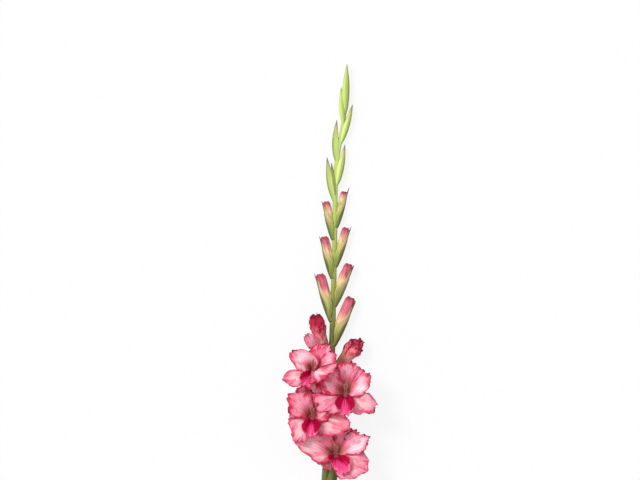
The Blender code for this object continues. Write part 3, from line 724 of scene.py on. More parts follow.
# %% [markdown]
# Now the petal's surface. `margin` is 0 in the middle and 1 at the edge, so whatever is multiplied by it
# ruffles only the edge. Inner petals ruffle forwards and outer ones backwards, which keeps the two apart.

# %% A petal's surface
FRILL = 1.2
FLUTE = 0.7
GROOVE = 0.35
JAG = 0.045
TIP_POINT = 0.02
REACH_PLACES = (-1.0, -0.5, 0.0, 0.5, 1.0)


def margin_ruffle(tepal, s, t):
    """Broad waves and a finer frill along the margin."""
    margin = 1.0 - (1.0 - np.abs(t) ** 4) * (1.0 - s ** 7)
    around = np.arctan2(t, s - 0.45)
    phase = tepal["phase"]
    broad = np.sin(RUFFLE_COUNT * around + phase) + 0.6 * np.sin(2.3 * RUFFLE_COUNT * around + 2.0 * phase)
    frill = wander(19.0 * around, 3.0 * phase) * margin ** 2
    forwards = 0.6 if tepal["layer"] > 0 else -0.6
    return margin * ease(s, 0.15, 0.6) * (RUFFLE * (broad + forwards) + FRILL * frill)


def petal_points(floret, tepals, tepal, s, t):
    """Every point of one petal, in millimetres."""
    phase = tepal["phase"] + floret["node"]
    around = np.arctan2(t, s - 0.45)
    jagged = wander(6.0 * around, phase) + 0.7 * wander(17.0 * around, phase)
    jagged = JAG * tepal.get("jag", 1.0) * jagged * ease(s, 0.3, 0.7)
    full = tepal["length"] * read_table(list(zip(REACH_PLACES, tepal["reach"])), t)
    distance = full * s * (1.0 + jagged * s ** 3 + TIP_POINT * hill(t, 0.0, 0.1) * s ** 6)
    radius = funnel(tepals, tepal["angle"], distance)[0]
    angle = tepal["angle"] + t * half_angle(tepal, s, t, radius) * (1.0 + jagged * np.abs(t) ** 3)
    radius, height, slope = funnel(tepals, angle, distance)
    lift = tepal["layer"] * mix(*LAYERS_APART, ease(s, 0.0, 0.5))
    lift = lift + margin_ruffle(tepal, s, t) + tepal["curl"] * s ** 4
    lift += tepal.get("fold", 0.0) * ease(s, 0.35, 0.62)
    raised = np.where(t < 0.0, *tepal.get("sides", (0.0, 0.0)))
    lift += raised * np.abs(t) ** 2 * ease(s, 0.12, 0.4) * (1.0 - 0.6 * ease(s, 0.6, 1.0))
    lift -= GROOVE * hill(t, 0.0, 0.1) * ease(s, 0.25, 0.5) * (1.0 - ease(s, 0.8, 1.0))
    lift += FLUTE * wander(8.0 * t, phase) * ease(s, 0.25, 0.75)
    radius = radius - lift * np.cos(slope)
    height = height + lift * np.sin(slope)
    right, up, facing = floret_axes(floret)
    turn = np.radians(angle)
    outwards = right * np.cos(turn)[..., None] + up * np.sin(turn)[..., None]
    points = np.array(floret["throat"]) + outwards * radius[..., None] + facing * height[..., None]
    points[..., 2] = np.maximum(points[..., 2], PETAL_LOWEST)
    return points


print("ruffles up to", RUFFLE + FRILL, "mm")

# %% [markdown]
# ## The petals' finish
#
# A petal of this kind is pale, almost white, in its middle, and turns salmon and then deep pink towards the
# margin, which ends in a thin dark crimson rim. The throat is brownish green with red lines. Fine veins
# fan out from it.
#
# All of this follows the place on the petal: `t` is the first value that each vertex remembers and `s` the
# second. Noise that is squeezed across and stretched along gives streaks that fan out as the petal widens.
# The rim's width comes from the distance to the margin with a little noise in it, so that it never looks
# drawn. Some of the salmon near the throat and of the rose band along the margin is painted shade: the
# deeper pink that shaded parts of a petal show.

# %% Petal finish
PALE = tint("ffe4ec")
PINK = tint("ffabc2")
PEACH = tint("ffc6bc")
SALMON = tint("f87a97")
ROSE = tint("d62c58")
EDGE_RED = tint("b40c46")
RIM = tint("4e0a30")
VEIN = tint("c9405f")
THROAT = tint("bc7c6a")
THROAT_LINES = tint("8e2f3a")


def petal_finish(name, pale=1.0, pale_at=(0.0, 0.6), blush=1.0, veins=0.3, throat=0.0, lean=0.0,
                 warm=0.0, band=4.5, seed=0.0):
    finish, tree, shader = new_finish(name, 0.5, subsurface=0.32, sheen=0.05)
    t, s, _, edge, shifted = where_on_piece(tree, seed, SHEET_SHIFT)
    streaks = cloud(tree, shifted, 1.0, (11.0, 1.3, 1.0), 4.0)
    patches = cloud(tree, shifted, 1.0, (2.4, 2.8, 1.0), 3.0)
    ragged = cloud(tree, shifted, 1.0, (7.0, 11.0, 1.0), 3.0)
    dabs = cloud(tree, shifted, 1.0, (5.0, 7.0, 1.0), 2.0)
    uneven = minus(tree, streaks, 0.5)
    outer = fade(tree, s, 0.3, 0.6)
    apart = work_out(tree, "ABSOLUTE", minus(tree, t, pale_at[0]))
    beyond = work_out(tree, "ABSOLUTE", minus(tree, s, pale_at[1]))
    apart = work_out(tree, "POWER", apart, 2.0)
    beyond = times(tree, work_out(tree, "POWER", beyond, 2.0), 6.0)
    away = work_out(tree, "SQRT", plus(tree, apart, beyond))
    away = plus(tree, away, times(tree, uneven, 0.8))
    light = blend(tree, warm, PALE, PEACH)
    colour = blend(tree, fade(tree, away, 0.95, 0.25, 0.0, pale), PINK, light)
    inward = plus(tree, edge, times(tree, uneven, 14.0))
    near = times(tree, fade(tree, inward, 9.0, 2.0, 0.0, 0.7 * blush), outer)
    colour = blend(tree, near, colour, SALMON)
    # Salmon towards the throat: partly the petal's own colour, partly painted shade for the deeper pink of
    # the shaded funnel.
    deep = plus(tree, s, times(tree, uneven, 0.35))
    deep = minus(tree, deep, times(tree, t, lean))
    colour = blend(tree, fade(tree, deep, 0.62 + throat, 0.3 + throat, 0.0, 0.8 * blush), colour, SALMON)
    colour = blend(tree, fade(tree, patches, 0.46, 0.6, 0.0, 0.8 * blush), colour, SALMON)
    # Deep rose along the margin: the petal's own colour, and where the patches widen the band also painted
    # shade, the crimson shade where petals overlap and curl.
    inward = minus(tree, inward, fade(tree, patches, 0.42, 0.62, -2.5, 5.5))
    near = times(tree, fade(tree, inward, band, -1.0, 0.0, min(0.8 * blush, 1.0)), outer)
    colour = blend(tree, near, colour, ROSE)
    wave = plus(tree, times(tree, t, 22.0), times(tree, ragged, 5.0))
    lines = fade(tree, work_out(tree, "ABSOLUTE", work_out(tree, "SINE", wave)), 0.75, 1.0)
    colour = blend(tree, times(tree, lines, 0.5 * veins), colour, VEIN)
    colour = blend(tree, fade(tree, streaks, 0.54, 0.7, 0.0, veins), colour, VEIN)
    colour = blend(tree, fade(tree, deep, 0.42 + throat, 0.16 + throat, 0.0, 0.85), colour, THROAT)
    red = times(tree, fade(tree, deep, 0.5 + throat, 0.3 + throat), fade(tree, streaks, 0.48, 0.6, 0.0, 0.7))
    colour = blend(tree, red, colour, THROAT_LINES)
    ragged_edge = minus(tree, edge, times(tree, ragged, 2.6))
    red_edge = times(tree, fade(tree, ragged_edge, 0.5, -0.9, 0.0, 0.85), outer)
    colour = blend(tree, red_edge, colour, EDGE_RED)
    dab_edge = minus(tree, edge, fade(tree, dabs, 0.5, 0.66, -0.4, 3.2))
    dark = times(tree, fade(tree, dab_edge, 0.3, -0.8, 0.0, 0.92), outer)
    colour = blend(tree, dark, colour, RIM)
    height = plus(tree, streaks, times(tree, lines, -0.3))
    finish_surface(tree, shader, colour, height, 0.3, streaks, (0.42, 0.6))
    return finish


print("petal colours run from", [round(part, 2) for part in PALE[:3]], "to",
      [round(part, 2) for part in RIM[:3]])

# %% [markdown]
# The lip is the lowest petal and the flower's signpost for bees. It is deep crimson at both sides of the
# throat, with a bright magenta stripe down its middle and a paler, streaked tip.

# %% Lip finish
CRIMSON = tint("c4003e")
DARK_CRIMSON = tint("980030")
MAGENTA = tint("ee4484")
LIP_TIP = tint("f78fae")


def lip_finish(name, seed=0.0):
    finish, tree, shader = new_finish(name, 0.6, subsurface=0.08)
    shader.inputs["Specular IOR Level"].default_value = 0.08
    t, s, _, edge, shifted = where_on_piece(tree, seed, SHEET_SHIFT)
    streaks = cloud(tree, shifted, 1.0, (8.0, 1.5, 1.0), 5.0)
    ragged = cloud(tree, shifted, 1.0, (9.0, 14.0, 1.0), 3.0)
    uneven = minus(tree, streaks, 0.5)
    off_middle = plus(tree, work_out(tree, "ABSOLUTE", t), times(tree, uneven, 0.9))
    half_stripe = plus(tree, fade(tree, s, 0.3, 0.8, 0.05, 0.34), fade(tree, s, 0.84, 1.04, 0.0, 0.7))
    beside = minus(tree, off_middle, half_stripe)
    stripe = times(tree, fade(tree, beside, 0.2, -0.16), fade(tree, s, 0.2, 0.4))
    colour = blend(tree, fade(tree, streaks, 0.4, 0.6), CRIMSON, DARK_CRIMSON)
    colour = blend(tree, stripe, colour, MAGENTA)
    outer = plus(tree, s, times(tree, uneven, 0.9))
    colour = blend(tree, times(tree, fade(tree, outer, 0.74, 1.0, 0.0, 0.65), stripe), colour, LIP_TIP)
    colour = blend(tree, fade(tree, s, 0.22, 0.1, 0.0, 0.8), colour, THROAT)
    ragged_edge = minus(tree, edge, times(tree, ragged, 1.4))
    colour = blend(tree, fade(tree, ragged_edge, 0.5, -0.5, 0.0, 0.7), colour, EDGE_RED)
    finish_surface(tree, shader, colour, streaks, 0.3, streaks, (0.42, 0.6))
    return finish


print("lip colours are ready")

# %% [markdown]
# ## Bracts: the green sheaths
#
# A bract is a leathery leaf that wraps the foot of each flower. It is olive green with parallel veins and
# a thin, pale, papery edge, and its tip dries to a dark point. One finish serves them all: the veins are
# sines across the sheet, and the tip's colour comes in by the value along it.

# %% Bract finish
OLIVE = tint("8a9148")
LEAF_LIGHT = tint("ccd27e")
LEAF_FRESH = tint("c2dc68")
LEAF_LINES = tint("58602f")
BRACT_BROWN = tint("8b6f5a")
KEEL = tint("4c522b")
BRACT_TIP = tint("4f4440")
BRACT_PEACH = tint("e4b892")
BRACT_RED = tint("cf7a70")
PAPER = tint("e6dca0")


def bract_finish(name, fresh=0.0, blush=0.0, seed=0.0, flush=BRACT_PEACH, shade=0.0):
    finish, tree, shader = new_finish(name, 0.55, subsurface=0.1, sheen=0.03)
    t, s, _, edge, shifted = where_on_piece(tree, seed, SHEET_SHIFT)
    streaks = cloud(tree, shifted, 1.0, (9.0, 1.1, 1.0), 5.0)
    patches = cloud(tree, shifted, 1.0, (2.0, 3.0, 1.0), 3.0)
    uneven = minus(tree, streaks, 0.5)
    lines = fade(tree, work_out(tree, "SINE", times(tree, t, 44.0)), 0.2, 1.0)
    from_keel = plus(tree, work_out(tree, "ABSOLUTE", t), times(tree, uneven, 0.5))
    colour = blend(tree, fade(tree, streaks, 0.38, 0.62), OLIVE, LEAF_LIGHT)
    colour = blend(tree, fade(tree, from_keel, 0.0, 0.8, 0.0, 0.35 + 0.5 * fresh), colour, LEAF_FRESH)
    colour = blend(tree, times(tree, lines, 0.3), colour, LEAF_LINES)
    colour = blend(tree, fade(tree, s, 0.5, 0.04, 0.0, 0.62), colour, LEAF_LINES)
    colour = blend(tree, fade(tree, patches, 0.5, 0.72, 0.0, 0.5), colour, BRACT_BROWN)
    high = plus(tree, s, times(tree, uneven, 0.25))
    flushed = times(tree, fade(tree, high, 0.28, 0.62, 0.0, blush), fade(tree, from_keel, 0.15, 0.6))
    colour = blend(tree, flushed, colour, flush)
    # Dark olive along the keel, the bract's outer side: painted shade where the bract turns away from the
    # light.
    colour = blend(tree, fade(tree, from_keel, 0.66, 0.16, 0.0, 0.92), colour, KEEL)
    papery = times(tree, fade(tree, edge, 1.4, 0.1, 0.0, 0.6), fade(tree, s, 0.1, 0.25))
    colour = blend(tree, papery, colour, PAPER)
    colour = blend(tree, fade(tree, high, 0.66, 0.95, 0.0, 0.6), colour, BRACT_BROWN)
    colour = blend(tree, fade(tree, high, 0.8, 0.94, 0.0, 0.92), colour, BRACT_TIP)
    colour = blend(tree, shade, colour, KEEL)
    height = plus(tree, times(tree, lines, 0.6), streaks)
    finish_surface(tree, shader, colour, height, 0.45, streaks, (0.45, 0.65))
    return finish


print("bract colours are ready")

# %% [markdown]
# ## The open flowers
#
# Each flower is a tube that bends up from the stem, a bract at its foot, six petals, and the stamens in the
# throat. The petals use the surface above on a grid fine enough to carry the frill. The seeds of the
# finishes differ from petal to petal, so that no two have the same streaks.

# %% Petals
PETAL_ROWS = 56
PETAL_COLUMNS = 44
LOOKS = {
    "dorsal": dict(pale=0.25, pale_at=(0.0, 0.8), blush=1.2, throat=0.1, veins=0.5, band=6.0),
    "upper_left": dict(pale=0.9, pale_at=(0.25, 0.66), blush=0.9, veins=0.25, lean=-0.18),
    "upper_right": dict(pale=1.0, pale_at=(-0.25, 0.66), blush=0.9, veins=0.25, lean=0.18),
    "lower_left": dict(pale=1.0, blush=0.9, veins=0.35, throat=-0.1, warm=0.3),
    "lower_right": dict(pale=1.0, blush=0.9, veins=0.55, throat=-0.1, warm=0.6),
}


# Petals that lie in the shade of other petals get looks of their own: less pale, more salmon, wider rose
# bands and more throat colour. This is painted shade, for the deeper pink that a shaded, translucent petal
# shows.
SHADED_LOOKS = {
    "floret_1_lower_left": dict(pale=0.0, blush=0.7, veins=0.5, throat=0.55),
    "floret_1_dorsal": dict(pale=0.55, pale_at=(-0.5, 0.8), throat=0.05, veins=0.5),
    "floret_1_upper_left": dict(pale=0.8, pale_at=(0.3, 0.6), blush=1.0, veins=0.4, lean=-0.1, warm=0.4,
                                band=8.0),
    "floret_2_upper_left": dict(pale=0.1, pale_at=(0.2, 0.66), blush=1.15, veins=0.4, lean=-0.1, warm=0.5),
    "floret_2_upper_right": dict(pale=0.6, blush=1.2, veins=0.4, warm=0.5, band=8.0),
    "floret_3_upper_left": dict(pale=0.45, pale_at=(0.3, 0.7), blush=1.2, throat=0.1, veins=0.4, band=9.0),
    "floret_3_lower_left": dict(pale=0.5, pale_at=(-0.4, 0.5), throat=-0.1, veins=0.3, warm=0.3),
    "floret_4_upper_right": dict(pale=0.8, pale_at=(-0.25, 0.66), blush=0.95, veins=0.35, lean=0.18,
                                 band=5.0),
    "floret_4_lower_right": dict(pale=1.0, pale_at=(0.1, 0.6), blush=0.95, veins=0.45, throat=-0.1,
                                 warm=0.5, band=7.0),
}


def make_petals(number, floret):
    tepals = floret_tepals(floret)
    s, t = sheet_grid(PETAL_ROWS, PETAL_COLUMNS)
    pieces = []
    for place, (key, tepal) in enumerate(tepals.items()):
        name = f"{floret['name']}_{key}"
        seed = 1.7 * number + 0.61 * place
        finish = lip_finish(name + "_finish", seed) if key == "lip" else petal_finish(
            name + "_finish", seed=seed, **SHADED_LOOKS.get(name, LOOKS[key]))
        part = sheet_part(petal_points(floret, tepals, tepal, s, t), PETAL_THICK, s, t, seed)
        pieces.append(make_piece(name + "_petal", [part], finish, name + "_tepal"))
    return pieces


report("petals", [piece for number, floret in enumerate(FLORETS) for piece in make_petals(number, floret)])

# %% [markdown]
# ### Tubes and their bracts
#
# The tube is hidden from the front, but it shows from the side: it leaves the stem at the node, thin and
# green, and widens into the pink throat. Its bract hugs the outer side and ends in a point.

# %% Tubes
SHEATH_CLEAR = (0.95, 3.0)
FLOWER_SHEATH_THICK = 0.6
TUBE_RADIUS = [(0.0, 1.2), (0.15, 3.2), (0.4, 3.2), (0.7, 4.0), (1.0, 6.4)]


def tube_path(floret):
    out = np.array([0.75 * floret["side"], 0.0, 0.66])
    start = stem_point(floret["node"]) + out * (stem_radius(floret["node"]) + 1.7)
    facing = floret_axes(floret)[2]
    throat = np.array(floret["throat"]) - facing
    return [start, start + out * 6.0 + np.array([0.0, 22.0, 0.0]), throat - facing * 16.0, throat], out


def tube_finish():
    finish, tree, shader = new_finish("tube_skin", 0.5, subsurface=0.15)
    place = remembered(tree, "place").outputs["Vector"]
    along = add_node(tree, "SeparateXYZ", (place,)).outputs[2]
    streaks = cloud(tree, place, 2.5, (2.0, 2.0, 0.7), 4.0)
    colour = blend(tree, fade(tree, along, 0.1, 0.55), tint("a9b56c"), tint("d9a483"))
    colour = blend(tree, fade(tree, along, 0.5, 0.95), colour, tint("e88a95"))
    colour = blend(tree, fade(tree, streaks, 0.5, 0.72, 0.0, 0.6), colour, tint("a8523f"))
    finish_surface(tree, shader, colour, streaks, 0.4, streaks)
    return finish


def make_tube(floret, finish):
    path, out = tube_path(floret)
    s, angle = round_grid(40, 40)
    ribs = 1.0 - 0.03 * (1.0 + np.sin(6.0 * angle)) / 2
    radius = read_table(TUBE_RADIUS, s) * ribs
    points = ring_points(bezier(path, s), bezier_direction(path, s), out, radius, angle)
    return make_piece(floret["name"] + "_flower_tube", [round_part(points, s, angle)], finish,
                      floret["name"] + "_tube")


def make_floret_bract(number, floret):
    path, out = tube_path(floret)
    s, t = sheet_grid(44, 32)
    share = 0.02 + 0.74 * s
    radius = read_table(TUBE_RADIUS, share) + SHEATH_CLEAR[0] + SHEATH_CLEAR[1] * ease(s, 0.05, 0.4)
    radius = radius + 0.07 * np.sin(24.0 * t)
    angle = t * np.radians(mix(72.0, 128.0, ease(s, 0.0, 0.3)) * (1.0 - 0.94 * s ** 3.0))
    points = ring_points(bezier(path, share), bezier_direction(path, share), out, radius, angle)
    part = sheet_part(points, FLOWER_SHEATH_THICK, s, t, 3.1 * number)
    finish = bract_finish(f"floret_sheath_{number}", 0.0, 0.2, number, shade=0.8)
    return make_piece(floret["name"] + "_sheath", [part], finish, floret["name"] + "_bract")


tube_skin = tube_finish()
report("tubes", [make_tube(floret, tube_skin) for floret in FLORETS])
report("flower bracts", [make_floret_bract(number, floret) for number, floret in enumerate(FLORETS)])

# %% [markdown]
# ### Stamens
#
# Three stamens lean together against the upper petals: a thin pink thread each, with a long dusty anther that
# holds the pollen. The style rises between them and ends in three small lobes. Each thread is a
# thin round body along its own curve, and its anther is a grooved swelling near the top of it.

# %% Stamens
def stamen_line(fan, rise, reach, share):
    """The middle of one thread as (aside, up, forward) of the throat's floor."""
    side = (0.8 if fan > 0 else -0.8) * (1.0 - share) + fan * 2.6 * share ** 1.4
    up = 1.4 * rise + 12.0 * share ** 1.6 * reach + 1.6 * rise * share
    return np.stack([side, up + 0.0 * share, 2.0 + 17.0 * share * reach], axis=-1)


def stamen_finish(name, thread, head):
    finish, tree, shader = new_finish(name, 0.55, subsurface=0.1)
    place = remembered(tree, "place").outputs["Vector"]
    along = add_node(tree, "SeparateXYZ", (place,)).outputs[2]
    grain = cloud(tree, place, 14.0, (1.0, 1.0, 6.0), 3.0)
    colour = blend(tree, fade(tree, along, 0.66, 0.72), thread, head)
    colour = blend(tree, fade(tree, grain, 0.5, 0.7, 0.0, 0.4), colour, tint("e0a898"))
    finish_surface(tree, shader, colour, grain, 0.5)
    return finish


def stamen_part(axes, throat, fan, rise, reach, is_style):
    s, angle = round_grid(48, 12)
    line = stamen_line(fan, rise, reach, s)
    centre = throat + sum(line[..., axis, None] * axes[axis] for axis in range(3))
    direction = unit(np.gradient(centre, axis=0))
    if is_style:
        radius = 0.38 + 0.3 * ease(s, 0.93, 1.0) * (1.0 + np.cos(3.0 * angle))
    else:
        anther = ease(s, 0.66, 0.72) * (1.0 - ease(s, 0.97, 1.0))
        radius = 0.34 + anther * (0.5 - 0.14 * np.cos(2.0 * angle) ** 8)
    points = ring_points(centre, direction, axes[0], radius * np.clip((1.02 - s) / 0.04, 0.3, 1.0), angle)
    return round_part(points, s, angle)


def make_stamens(floret, finish):
    axes, throat = floret_axes(floret), np.array(floret["throat"])
    kinds = [(-1.0, 0.0, 1.0, False), (1.0, 0.0, 0.97, False), (-0.15, 1.0, 0.93, False),
             (0.2, 1.0, 1.12, True)]
    parts = [stamen_part(axes, throat, *kind) for kind in kinds]
    return make_piece(floret["name"] + "_stamen_group", parts, finish, floret["name"] + "_stamens")


stamen_look = stamen_finish("stamen_look", tint("dc9490"), tint("c08a84"))
report("stamens", [make_stamens(floret, stamen_look) for floret in FLORETS])

# %% [markdown]
# ## Buds with a coloured tip
#
# Higher up, each bud is a long bract, open towards the stem, with the furled petals rising out of it. The
# outer margin of the bract runs down in a slant, so the petals show first at the tip. The petals are
# rolled round each other: a radius that grows slowly round the bud and then drops in one step gives each
# overlapping edge. At the top they close with small pleats.

# %% Tipped buds
TIPPED_BUDS = [
    dict(name="tipped_bud_1", node=193, side=1, tip=(33.8, 260), wide=8.7, reach=1.02),
    dict(name="tipped_bud_2", node=228, side=-1, tip=(-24.5, 298.6), wide=8.3, reach=0.95),
    dict(name="tipped_bud_3", node=250, side=1, tip=(31.3, 311.6), wide=8.0, reach=0.97),
    dict(name="tipped_bud_4", node=290, side=-1, tip=(-17.1, 351.8), wide=7.2, reach=0.96),
    dict(name="tipped_bud_5", node=307, side=1, tip=(26.7, 366.3), wide=6.6, reach=0.93),
    dict(name="tipped_bud_6", node=346, side=-1, tip=(-13.6, 403), wide=6.3, reach=0.95),
    dict(name="tipped_bud_7", node=364, side=1, tip=(23.5, 422.2), wide=5.8, reach=0.87),
]
GAP = 0.3
BRACT_THICK = 0.7
SHEATH_THICK = 0.6
SHEATH_LOWEST = 0.3
OVERLAP = 0.13
TIP_OUT = 1.5
FULLER = 1.9


def bud_line(bud, share):
    """The middle line and its radius. The outer edge runs straight to the tip."""
    grip = stem_radius(bud["node"]) + GAP + BRACT_THICK / 2
    radius = mix(grip, bud["wide"] - BRACT_THICK / 2, ease(share, 0.0, 0.5))
    start = stem_point(bud["node"])
    fuller = FULLER * np.sin(math.pi * np.clip(share, 0.0, 1.0) ** 0.8)
    across = mix(start[0] + bud["side"] * grip, bud["tip"][0], share) - bud["side"] * (radius - fuller)
    along = mix(start[1], bud["tip"][1], share)
    height = mix(start[2], bud["wide"] + 0.1, ease(share, 0.0, 0.5))
    return np.stack([across, along, height], axis=-1), radius + 0.3 * fuller


def bud_rings(bud, share, radius_scale, angle, radius_more=0.0):
    """Points round the bud's middle line, angle 0 on the side away from the stem."""
    centre, radius = bud_line(bud, share)
    ahead, behind = bud_line(bud, share + 0.01)[0], bud_line(bud, share - 0.01)[0]
    hint = (bud["side"], 0.0, 0.0)
    return ring_points(centre, unit(ahead - behind), hint, radius * radius_scale + radius_more, angle)


def bud_bract_part(number, bud):
    s, t = sheet_grid(60, 40)
    spread = mix(mix(92.0, 140.0, ease(s, 0.05, 0.3)), 36.0, ease(s, 0.34, 0.76))
    spread = spread * (1.0 - 0.93 * ease(s, 0.76, 1.01))
    more = 0.05 * np.sin(26.0 * t) + 0.25 * hill(t, 0.0, 0.05) - 0.35 * np.abs(t) ** 3
    towards_you = 22.0 * ease(s, 0.5, 0.85)
    angle = np.radians(t * spread - towards_you) * bud["side"]
    points = bud_rings(bud, s, 1.0, angle, more + 0.3 * ease(s, 0.8, 1.0))
    points[..., 0] += bud["side"] * TIP_OUT * ease(s, 0.7, 1.0)
    points[..., 2] = np.maximum(points[..., 2], SHEATH_LOWEST)
    return sheet_part(points, SHEATH_THICK, s, t, 2.3 * number)


def rolled(angle, s, twist, petals=3):
    """How far round its own petal a point lies: 0 at the tucked edge and 1 at the free one."""
    return (angle * petals / (2 * math.pi) + twist * s) % 1.0


def bud_petals_part(number, bud):
    s, angle = round_grid(72, 96)
    turned = rolled(angle, s, 0.5 * bud["side"] + 0.2 * number)
    crumple = wander(5.0 * angle, 1.0 + number) + 0.6 * wander(13.0 * angle, 2.0 + number)
    share = mix(0.3, bud["reach"], s) + 0.02 * ease(s, 0.75, 1.0) * crumple
    scale = mix(0.7, 1.0, ease(s, 0.0, 0.3)) * (1.0 - 0.3 * ease(s, 0.9, 1.0) ** 2)
    scale = scale * (1.0 - OVERLAP * (1.0 - turned) * ease(s, 0.2, 0.6))
    dents = wander(7.0 * angle + 9.0 * s, 2.0 * number) + 0.5 * wander(15.0 * angle - 21.0 * s, 3.0 * number)
    scale = scale * (1.0 + 0.06 * ease(s, 0.55, 0.9) * dents)
    points = bud_rings(bud, share, scale, angle, -0.75)
    points[..., 0] += bud["side"] * TIP_OUT * ease(share, 0.7, 1.0)
    part = round_part(points, s, angle)
    free = 1.0 - turned
    part["edge"] = np.concatenate([(free * NO_EDGE).ravel(), [0.0, 0.0]])
    return part


print("a tipped bud's top:", np.round(bud_line(TIPPED_BUDS[0], np.array(1.0))[0], 1))

# %% [markdown]
# The furled petals are green where the bract still shades them, then peach, then pink, and deepest at
# the tip and along each rolled edge.

# %% Tipped bud finish
def bud_petal_finish(name, seed, bare):
    finish, tree, shader = new_finish(name, 0.5, subsurface=0.2, sheen=0.1)
    _, _, along, edge, shifted = where_on_piece(tree, seed)
    streaks = cloud(tree, shifted, 2.2, (2.0, 2.0, 0.6), 4.0)
    uneven = times(tree, minus(tree, streaks, 0.5), 0.3)
    level = plus(tree, along, uneven)
    pink = 0.8 - 0.4 * bare
    colour = blend(tree, fade(tree, level, pink - 0.4, pink - 0.15), tint("b9bf62"), tint("ecd4a0"))
    colour = blend(tree, fade(tree, level, pink - 0.16, pink + 0.06), colour, tint("f2ac98"))
    colour = blend(tree, fade(tree, level, pink, pink + 0.2), colour, tint("dc7484"))
    colour = blend(tree, fade(tree, level, 0.82, 1.02, 0.0, 0.9), colour, tint("a02846"))
    colour = blend(tree, fade(tree, edge, 1.6, 0.0, 0.0, 0.6), colour, tint("b04056"))
    red = times(tree, fade(tree, streaks, 0.52, 0.7, 0.0, 0.75), fade(tree, level, pink - 0.1, pink + 0.1))
    colour = blend(tree, red, colour, tint("c03a52"))
    finish_surface(tree, shader, colour, streaks, 0.4, streaks, (0.42, 0.6))
    return finish


def make_tipped_bud(number, bud):
    name = bud["name"]
    finish = bract_finish(name + "_sheath_finish", 0.14 * number, 0.85, number)
    sheath = make_piece(name + "_sheath", [bud_bract_part(number, bud)], finish, name + "_bract")
    finish = bud_petal_finish(name + "_petal_finish", 1.3 * number, 1.0 - number / 6)
    furled = [bud_petals_part(number, bud)]
    furled = make_piece(name + "_furled", furled, finish, name + "_petals")
    return [sheath, furled]


report("tipped buds", [piece for number, bud in enumerate(TIPPED_BUDS)
                       for piece in make_tipped_bud(number, bud)])

# %% [markdown]
# ## Closed green buds
#
# At the top every bud is still shut inside its bracts. A spindle gives the body. One bract wraps the other,
# which shows as a long raised edge down the bud, and the tip is drawn out into a thin brownish beak.

# %% Green buds
GREEN_BUDS = [
    dict(name="green_bud_1", side=-1, parts=[dict(base=(3.4, 399), tip=(-7.3, 465), wide=5.4, bow=-0.8),
                                             dict(base=(4.6, 404), tip=(-0.9, 457), wide=3.8, lift=2.0)]),
    dict(name="green_bud_2", side=1, parts=[dict(base=(7.2, 424), tip=(18.8, 483), wide=5.4, bow=0.5)]),
    dict(name="green_bud_3", side=-1, parts=[dict(base=(6.4, 456), tip=(7.0, 519), wide=5.1, bow=-1.6)]),
    dict(name="green_bud_4", side=1, parts=[dict(base=(12.6, 484), tip=(29.9, 541), wide=4.9, bow=0.6)]),
]
TIP_BUDS = [dict(base=(18.8, 526), tip=(21.7, 600), wide=5.8),
            dict(base=(16.6, 512), tip=(13.2, 566), wide=5.3)]
FULLEST = 0.4


def spindle_part(bud, seam):
    height = bud["wide"] + 2.2 + bud.get("lift", 0.0)
    start, end = np.array([*bud["base"], height]), np.array([*bud["tip"], height])
    s, angle = round_grid(64, 60)
    lower = np.sin(math.pi / 2 * (0.1 + 0.9 * np.minimum(s / FULLEST, 1.0))) ** 0.8
    upper = np.cos(math.pi / 2 * 0.97 * np.maximum((s - FULLEST) / (1.0 - FULLEST), 0.0)) ** 0.9
    wrapped = ((angle - seam - 1.1 * s) / (2 * math.pi)) % 1.0
    radius = bud["wide"] * np.where(s < FULLEST, lower, upper) * (1.0 - 0.16 * wrapped * ease(s, 0.1, 0.3))
    radius = radius * (1.0 + 0.012 * np.sin(15.0 * angle))
    centre = start + (end - start) * s[..., None]
    centre[..., 0] += bud.get("bow", 0.0) * np.sin(math.pi * s)
    direction = np.broadcast_to(unit(end - start), centre.shape)
    points = ring_points(centre, direction, (1.0, 0.0, 0.0), radius, angle)
    part = round_part(points, s, angle)
    part["edge"] = np.concatenate([(wrapped * NO_EDGE).ravel(), [NO_EDGE, NO_EDGE]])
    return part


def green_bud_finish(name, side, seed, shine=0.85, dry=1.0, dark=0.0):
    finish, tree, shader = new_finish(name, 0.48, subsurface=0.12, coat=0.05)
    aside, _, along, edge, shifted = where_on_piece(tree, seed)
    streaks = cloud(tree, shifted, 3.0, (2.0, 2.0, 0.5), 4.0)
    uneven = times(tree, minus(tree, streaks, 0.5), 0.3)
    level = plus(tree, along, uneven)
    outer = plus(tree, times(tree, aside, side), times(tree, uneven, 1.5))
    colour = blend(tree, fade(tree, streaks, 0.35, 0.68), tint("a8c254"), tint("d0e27e"))
    # A painted highlight along the side that faces the stem, as strong as shine says, and painted shade along
    # the outer side.
    colour = blend(tree, fade(tree, outer, 0.1, -0.6, 0.0, shine), colour, tint("e9f8a8"))
    colour = blend(tree, fade(tree, outer, 0.3, 0.95, 0.0, 0.75), colour, tint("66713a"))
    colour = blend(tree, fade(tree, level, 0.5, 0.8, 0.0, 0.55 * dry), colour, tint("c6b070"))
    colour = blend(tree, fade(tree, level, 0.78, 0.96, 0.0, 0.85 * dry), colour, tint("85706c"))
    colour = blend(tree, fade(tree, edge, 1.3, 0.2, 0.0, 0.8), colour, tint("6c7434"))
    colour = blend(tree, dark, colour, tint("5e6420"))
    finish_surface(tree, shader, colour, streaks, 0.45, streaks)
    return finish


